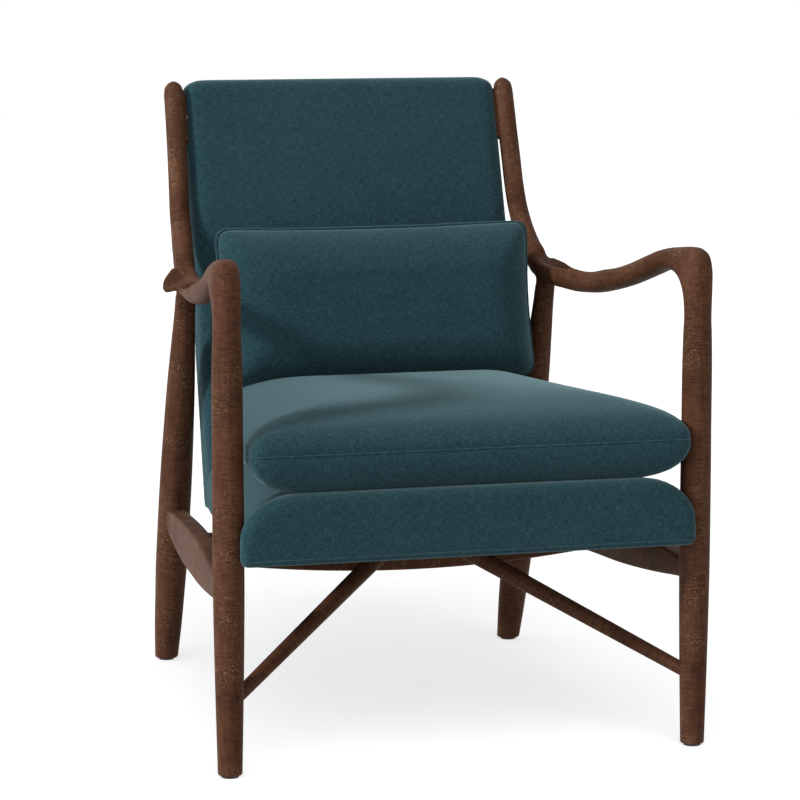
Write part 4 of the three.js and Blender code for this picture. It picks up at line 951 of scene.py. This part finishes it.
seatCushion = {
    "halfFront": 0.2885, "halfRear": 0.236, "front": 0, "rear": 0.518, "radius": 0.018, "drawIn": 0.003,
    "rise": 0.051, "drop": 0.0505, "frontFull": 0.42,
    "shift": 0.0045, "frontBack": -0.035, "seamHeight": 0.405,
    "top": [(0.04, 0.205), (0.16, 0.405), (0.39, 0.605), (0.63, 0.73), (0.94, 0.84)],
    "bottom": [(0.05, 0.29), (0.2, 0.56), (0.44, 0.76), (0.8, 0.91), (1.2, 1)],
    "crown": [(0.8, 1.06), (0.5, 1.18), (0.12, 1.23)], "floor": [(0.5, 1), (0.12, 1)],
    "voxel": 0.006, "rounds": 3, "pressure": 14, "cap": 0.003, "seamHold": 0.012,
    "floorFrom": 0.7, "floorOver": 0.25,    # shares of the drop between which the underside comes to rest
    "seamRadius": 0.0011, "seamSides": 8, "seamOut": 0.0002, "creaseReach": 0.0045, "groove": 0.0016,
    "legClear": 0.0203,
}
lumbarCushion = {
    "halfFront": 0.223, "halfRear": 0.223, "front": -0.113, "rear": 0.1065,
    "radius": 0.018, "drawIn": 0.0035,
    "frontBulge": 0.044, "rearBulge": 0.076, "tilt": math.radians(11), "roll": math.radians(0.25),
    "sag": 0.06, "droop": 0.17,
    "profile": [(0.03, 0.15), (0.08, 0.34), (0.16, 0.56), (0.28, 0.77), (0.45, 0.93)],
    "crown": [(0.6, 0.985), (0.3, 1), (0.1, 1)],
    "voxel": 0.004, "rounds": 2, "pressure": 14, "cap": 0.002, "seamHold": 0.012,
    "seamRadius": 0.0026, "seamSides": 14, "seamOut": 0.0022, "creaseReach": 0.005, "groove": 0.0036,
}
coverCloth = {
    "quality": 6, "mass": 0.25, "tension_stiffness": 25, "compression_stiffness": 25, "shear_stiffness": 12,
    "bending_stiffness": 1.2, "use_pressure": True, "vertex_group_mass": "held",
}


def puff(thing, held, pressure, cap, frames=20):
    # the cover is blown up a little as cloth, with each point held to a greatest travel
    start = coordinates(thing)
    group = thing.vertex_groups.new(name="held")
    for level in (0.25, 0.5, 0.75, 1):
        members = np.nonzero((held > level - 0.25) & (held <= level))[0]
        group.add(members.tolist(), level, "REPLACE")
    modifier = thing.modifiers.new("cloth", "CLOTH")
    for key, value in coverCloth.items():
        setattr(modifier.settings, key, value)
    modifier.settings.uniform_pressure_force = pressure
    modifier.settings.effector_weights.gravity = 0
    modifier.collision_settings.use_collision = False
    modifier.point_cache.frame_start = 1
    modifier.point_cache.frame_end = frames
    for number in range(1, frames + 1):
        scene.frame_set(number)
    moved = thing.evaluated_get(bpy.context.evaluated_depsgraph_get())
    travel = coordinates(moved) - start
    thing.modifiers.clear()
    thing.vertex_groups.clear()
    length = np.linalg.norm(travel, axis=1)
    travel *= np.minimum(1, cap / np.maximum(length, 1e-9))[:, None]
    setCoordinates(thing, start + travel)
    scene.frame_set(1)
    print(thing.name, "puffed, largest travel", round(float(length.max()), 4))


def settleCover(thing, place, v):
    # an even skin, blown up a little, finer, and drawn in along its seam, where the place's z is 0
    thing.data.transform(place)
    evenSkin(thing, v)
    height = localPoints(coordinates(thing), place)[:, 2]
    held = np.exp(-((height / v["seamHold"]) ** 2))
    if "floorFrom" in v:
        under = -(height + v["floorFrom"] * v["drop"]) / (v["floorOver"] * v["drop"])
        held = np.maximum(held, np.clip(under, 0, 1))
    puff(thing, held, v["pressure"], v["cap"])
    finer = thing.modifiers.new("finer", "SUBSURF")
    finer.levels = finer.render_levels = 1
    evaluated(thing)
    co = coordinates(thing)
    pull = v["groove"] * np.exp(-((localPoints(co, place)[:, 2] / v["creaseReach"]) ** 2))
    setCoordinates(thing, co - pull[:, None] * readAll(thing.data.vertices, "normal"))


def sewSeam(name, thing, place, v, perSide):
    # a cord where the seam's plane meets the cover, found along lines from outside it to the middle
    outline = cushionOutline(v, 16, perSide)
    tree = treeOf(thing)
    middle = Vector((0, float(outline[:, 1].mean()), 0))
    centre = place @ middle
    path = []
    for x, y in outline:
        start = place @ Vector((x * 1.25, middle.y + (y - middle.y) * 1.25, 0))
        way = (centre - start).normalized()
        hit, _, _, _ = tree.ray_cast(start, way)
        path.append((hit or start) - v["seamOut"] * way)
    return cordAlong(name, path, v["seamRadius"], v["seamSides"])


def pressRound(thing, clear):
    # where the cushion meets a front leg, its cover lies against the leg
    co = coordinates(thing)
    for side in (1, -1):
        away = co[:, :2] - np.array((side * frontLeg["out"], legBack))
        distance = np.linalg.norm(away, axis=1)
        inside = distance < clear
        co[inside, :2] += away[inside] * (clear / distance[inside] - 1)[:, None]
    setCoordinates(thing, co)


def makeSeatCushion(v):
    thing = cushionMesh("seat_cushion", v, (v["top"], v["crown"], v["rise"], v["rise"]),
                        (v["bottom"], v["floor"], v["rise"], -v["drop"]))
    place = leaning((v["shift"], legBack + v["frontBack"], v["seamHeight"]), -deck["tilt"])
    settleCover(thing, place, v)
    pressRound(thing, v["legClear"])
    seam = sewSeam("seat_cushion_seam", thing, place, v, 60)
    finishCloth(thing, "seat_cushion", ["seat_cushion_cover", "seat_cushion_core"])
    finishCloth(seam, "seat_cushion", [])


def makeLumbarCushion(v):
    thing = cushionMesh("lumbar_cushion", v, (v["profile"], v["crown"], v["rear"], v["frontBulge"]),
                        (v["profile"], v["crown"], v["rear"], -v["rearBulge"]))
    low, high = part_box("lumbar_welt")
    place = leaning(0.5 * (low + high), 0.5 * math.pi - v["tilt"]) @ Matrix.Rotation(v["roll"], 4, "Z")
    # the filling has sunk a little to the lower edge
    co = coordinates(thing)
    co[:, 2] *= 1 - v["sag"] * co[:, 1] / v["rear"]
    co[:, 1] -= v["droop"] * np.maximum(co[:, 2], 0)
    setCoordinates(thing, co)
    settleCover(thing, place, v)
    piping = sewSeam("lumbar_piping", thing, place, v, 50)
    finishCloth(thing, "lumbar_cushion", ["lumbar_cover", "lumbar_core"])
    finishCloth(piping, "lumbar_cushion", ["lumbar_welt"])


makeSeatCushion(seatCushion)
makeLumbarCushion(lumbarCushion)
print("loose cushions made")


def makeDeckUpholstery(v):
    thing = makeDeck(v)
    thing.data.transform(deckPlace)
    evenSkin(thing, v)
    finishCloth(thing, "frame", ["deck_cover", "deck_foam"])
    # a fine welt just above the lower edge of the lip
    tree = treeOf(thing)
    backwards = deckPlace.to_3x3() @ Vector((0, 1, 0))
    reach = v["lipHalf"] - v["weltEnd"]
    places = [(x, -0.05, v["weltRise"]) for x in np.linspace(-reach, reach, v["weltPoints"])]
    hits = [tree.ray_cast(deckPlace @ Vector(place), backwards)[0] for place in places]
    path = [hit for hit in hits if hit]
    welt = cordAlong("deck_lip_welt", path, v["weltRadius"], v["weltSides"], closed=False)
    finishCloth(welt, "frame", ["deck_welt"])


makeDeckUpholstery(deck)
print("deck made")

back = {
    "headHalf": 0.2285, "footHalf": 0.232, "shift": 0.0012, "halfThick": 0.0285,
    "lowerLean": math.radians(15.6), "upperLean": math.radians(19.3),
    "footHeight": 0.25, "bendHeight": 0.56, "headHeight": 0.8297, "pinPlace": (0.65162, 0.782),
    "headCorner": 0.019, "footCorner": 0.007, "edge": 0.022, "rearEdge": 0.004,
    "crown": 0.014, "crownStart": 0.34, "crownWide": 0.95, "frontFlat": 0.92, "rearFlat": 0.96,
    "voxel": 0.0045, "rounds": 2,
}


def backLine(v):
    # the middle of the back's thickness, from foot to head, and its length up to each point
    y, z = v["pinPlace"]
    lean = math.tan(v["upperLean"])
    head, bend = (np.array((0, legBack + y + (height - z) * lean, height))
                  for height in (v["headHeight"], v["bendHeight"]))
    foot = bend - np.array((0, math.tan(v["lowerLean"]), 1)) * (v["bendHeight"] - v["footHeight"])
    fine = np.linspace(0, 1, 400)[:, None]
    curve = (1 - fine) ** 2 * foot + 2 * fine * (1 - fine) * bend + fine**2 * head
    return curve, runLengths(curve)


def makeBack(v):
    curve, lengths = backLine(v)
    total = lengths[-1]

    def pointAt(up, x, behind):
        clamped = min(max(up, 0), total)
        i = max(min(np.searchsorted(lengths, clamped), len(curve) - 2), 1)
        way = unit(curve[i + 1] - curve[i - 1])
        base = np.array([np.interp(clamped, lengths, curve[:, k]) for k in range(3)])
        base = base + way * (up - clamped) + np.array((0, way[2], -way[1])) * behind
        base[0] = x + v["shift"]
        return base

    def section(up, inset, sideInset):
        # from the middle of the rear face over both side edges to the middle of the crowned front face
        half = mix(v["footHalf"], v["headHalf"], up / total) - sideInset
        depth = v["halfThick"] - inset
        along = (up / total - v["crownStart"]) / (1 - v["crownStart"])
        crown = v["crown"] * math.sin(math.pi * min(max(along, 0), 1))
        rear, front = v["rearEdge"], v["edge"] - 0.4 * inset
        right = [(x * half, depth) for x in np.linspace(0, v["rearFlat"], 14)]
        right += [(half - rear + rear * c, depth - rear + rear * s) for s, c in quarterTurn(7)[::-1]]
        right += [(half - front + front * c, front - depth - front * s) for s, c in quarterTurn(9)]
        right += [(x * half, -depth - crown * (1 - (x / v["crownWide"]) ** 2))
                  for x in np.linspace(v["frontFlat"], 0, 20)]
        return [pointAt(up, x, behind) for x, behind in mirrored(right)]

    head, foot = v["headCorner"], v["footCorner"]
    # length up the back, inset of its thickness and inset of its sides: foot edge, body, head edge
    rows = [(foot * (1 - c), 0.6 * foot * (1 - s), foot * (1 - s)) for s, c in quarterTurn(7)]
    rows += [(up, 0, 0) for up in np.linspace(foot, total - head, 40)[1:]]
    rows += [(total - head * (1 - s), 0.9 * head * (1 - c), 1.15 * head * (1 - c))
             for s, c in quarterTurn(9)[1:]]
    thing = ringMesh("back_upholstery", [section(*row) for row in rows])
    evenSkin(thing, v)
    finishCloth(thing, "frame", ["back_cover", "back_foam", "back_panel"])


makeBack(back)
print("back made")

# ---- the pieces that keep their solids, by a word in their names
finishes = {
    "_glide_": plainMaterial("moulded glide", (0.012, 0.011, 0.01), (0.028, 0.025, 0.022), 0.55, 500),
    "dust_cover": plainMaterial("lining cloth", (0.008, 0.008, 0.009), (0.022, 0.022, 0.024), 0.95, 900),
    "_zip": plainMaterial("zip tape", (0.012, 0.04, 0.05), (0.022, 0.065, 0.08), 0.8, 900),
    "deck_strap": plainMaterial("seat webbing", (0.03, 0.026, 0.022), (0.075, 0.065, 0.055), 0.9, 600),
    "deck_screw": steel, "back_bolt": steel,
}
for name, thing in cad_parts.items():
    finish = next((material for word, material in finishes.items() if word in name), beech)
    for place in thing.material_slots:
        place.material = finish
print("finishes set")
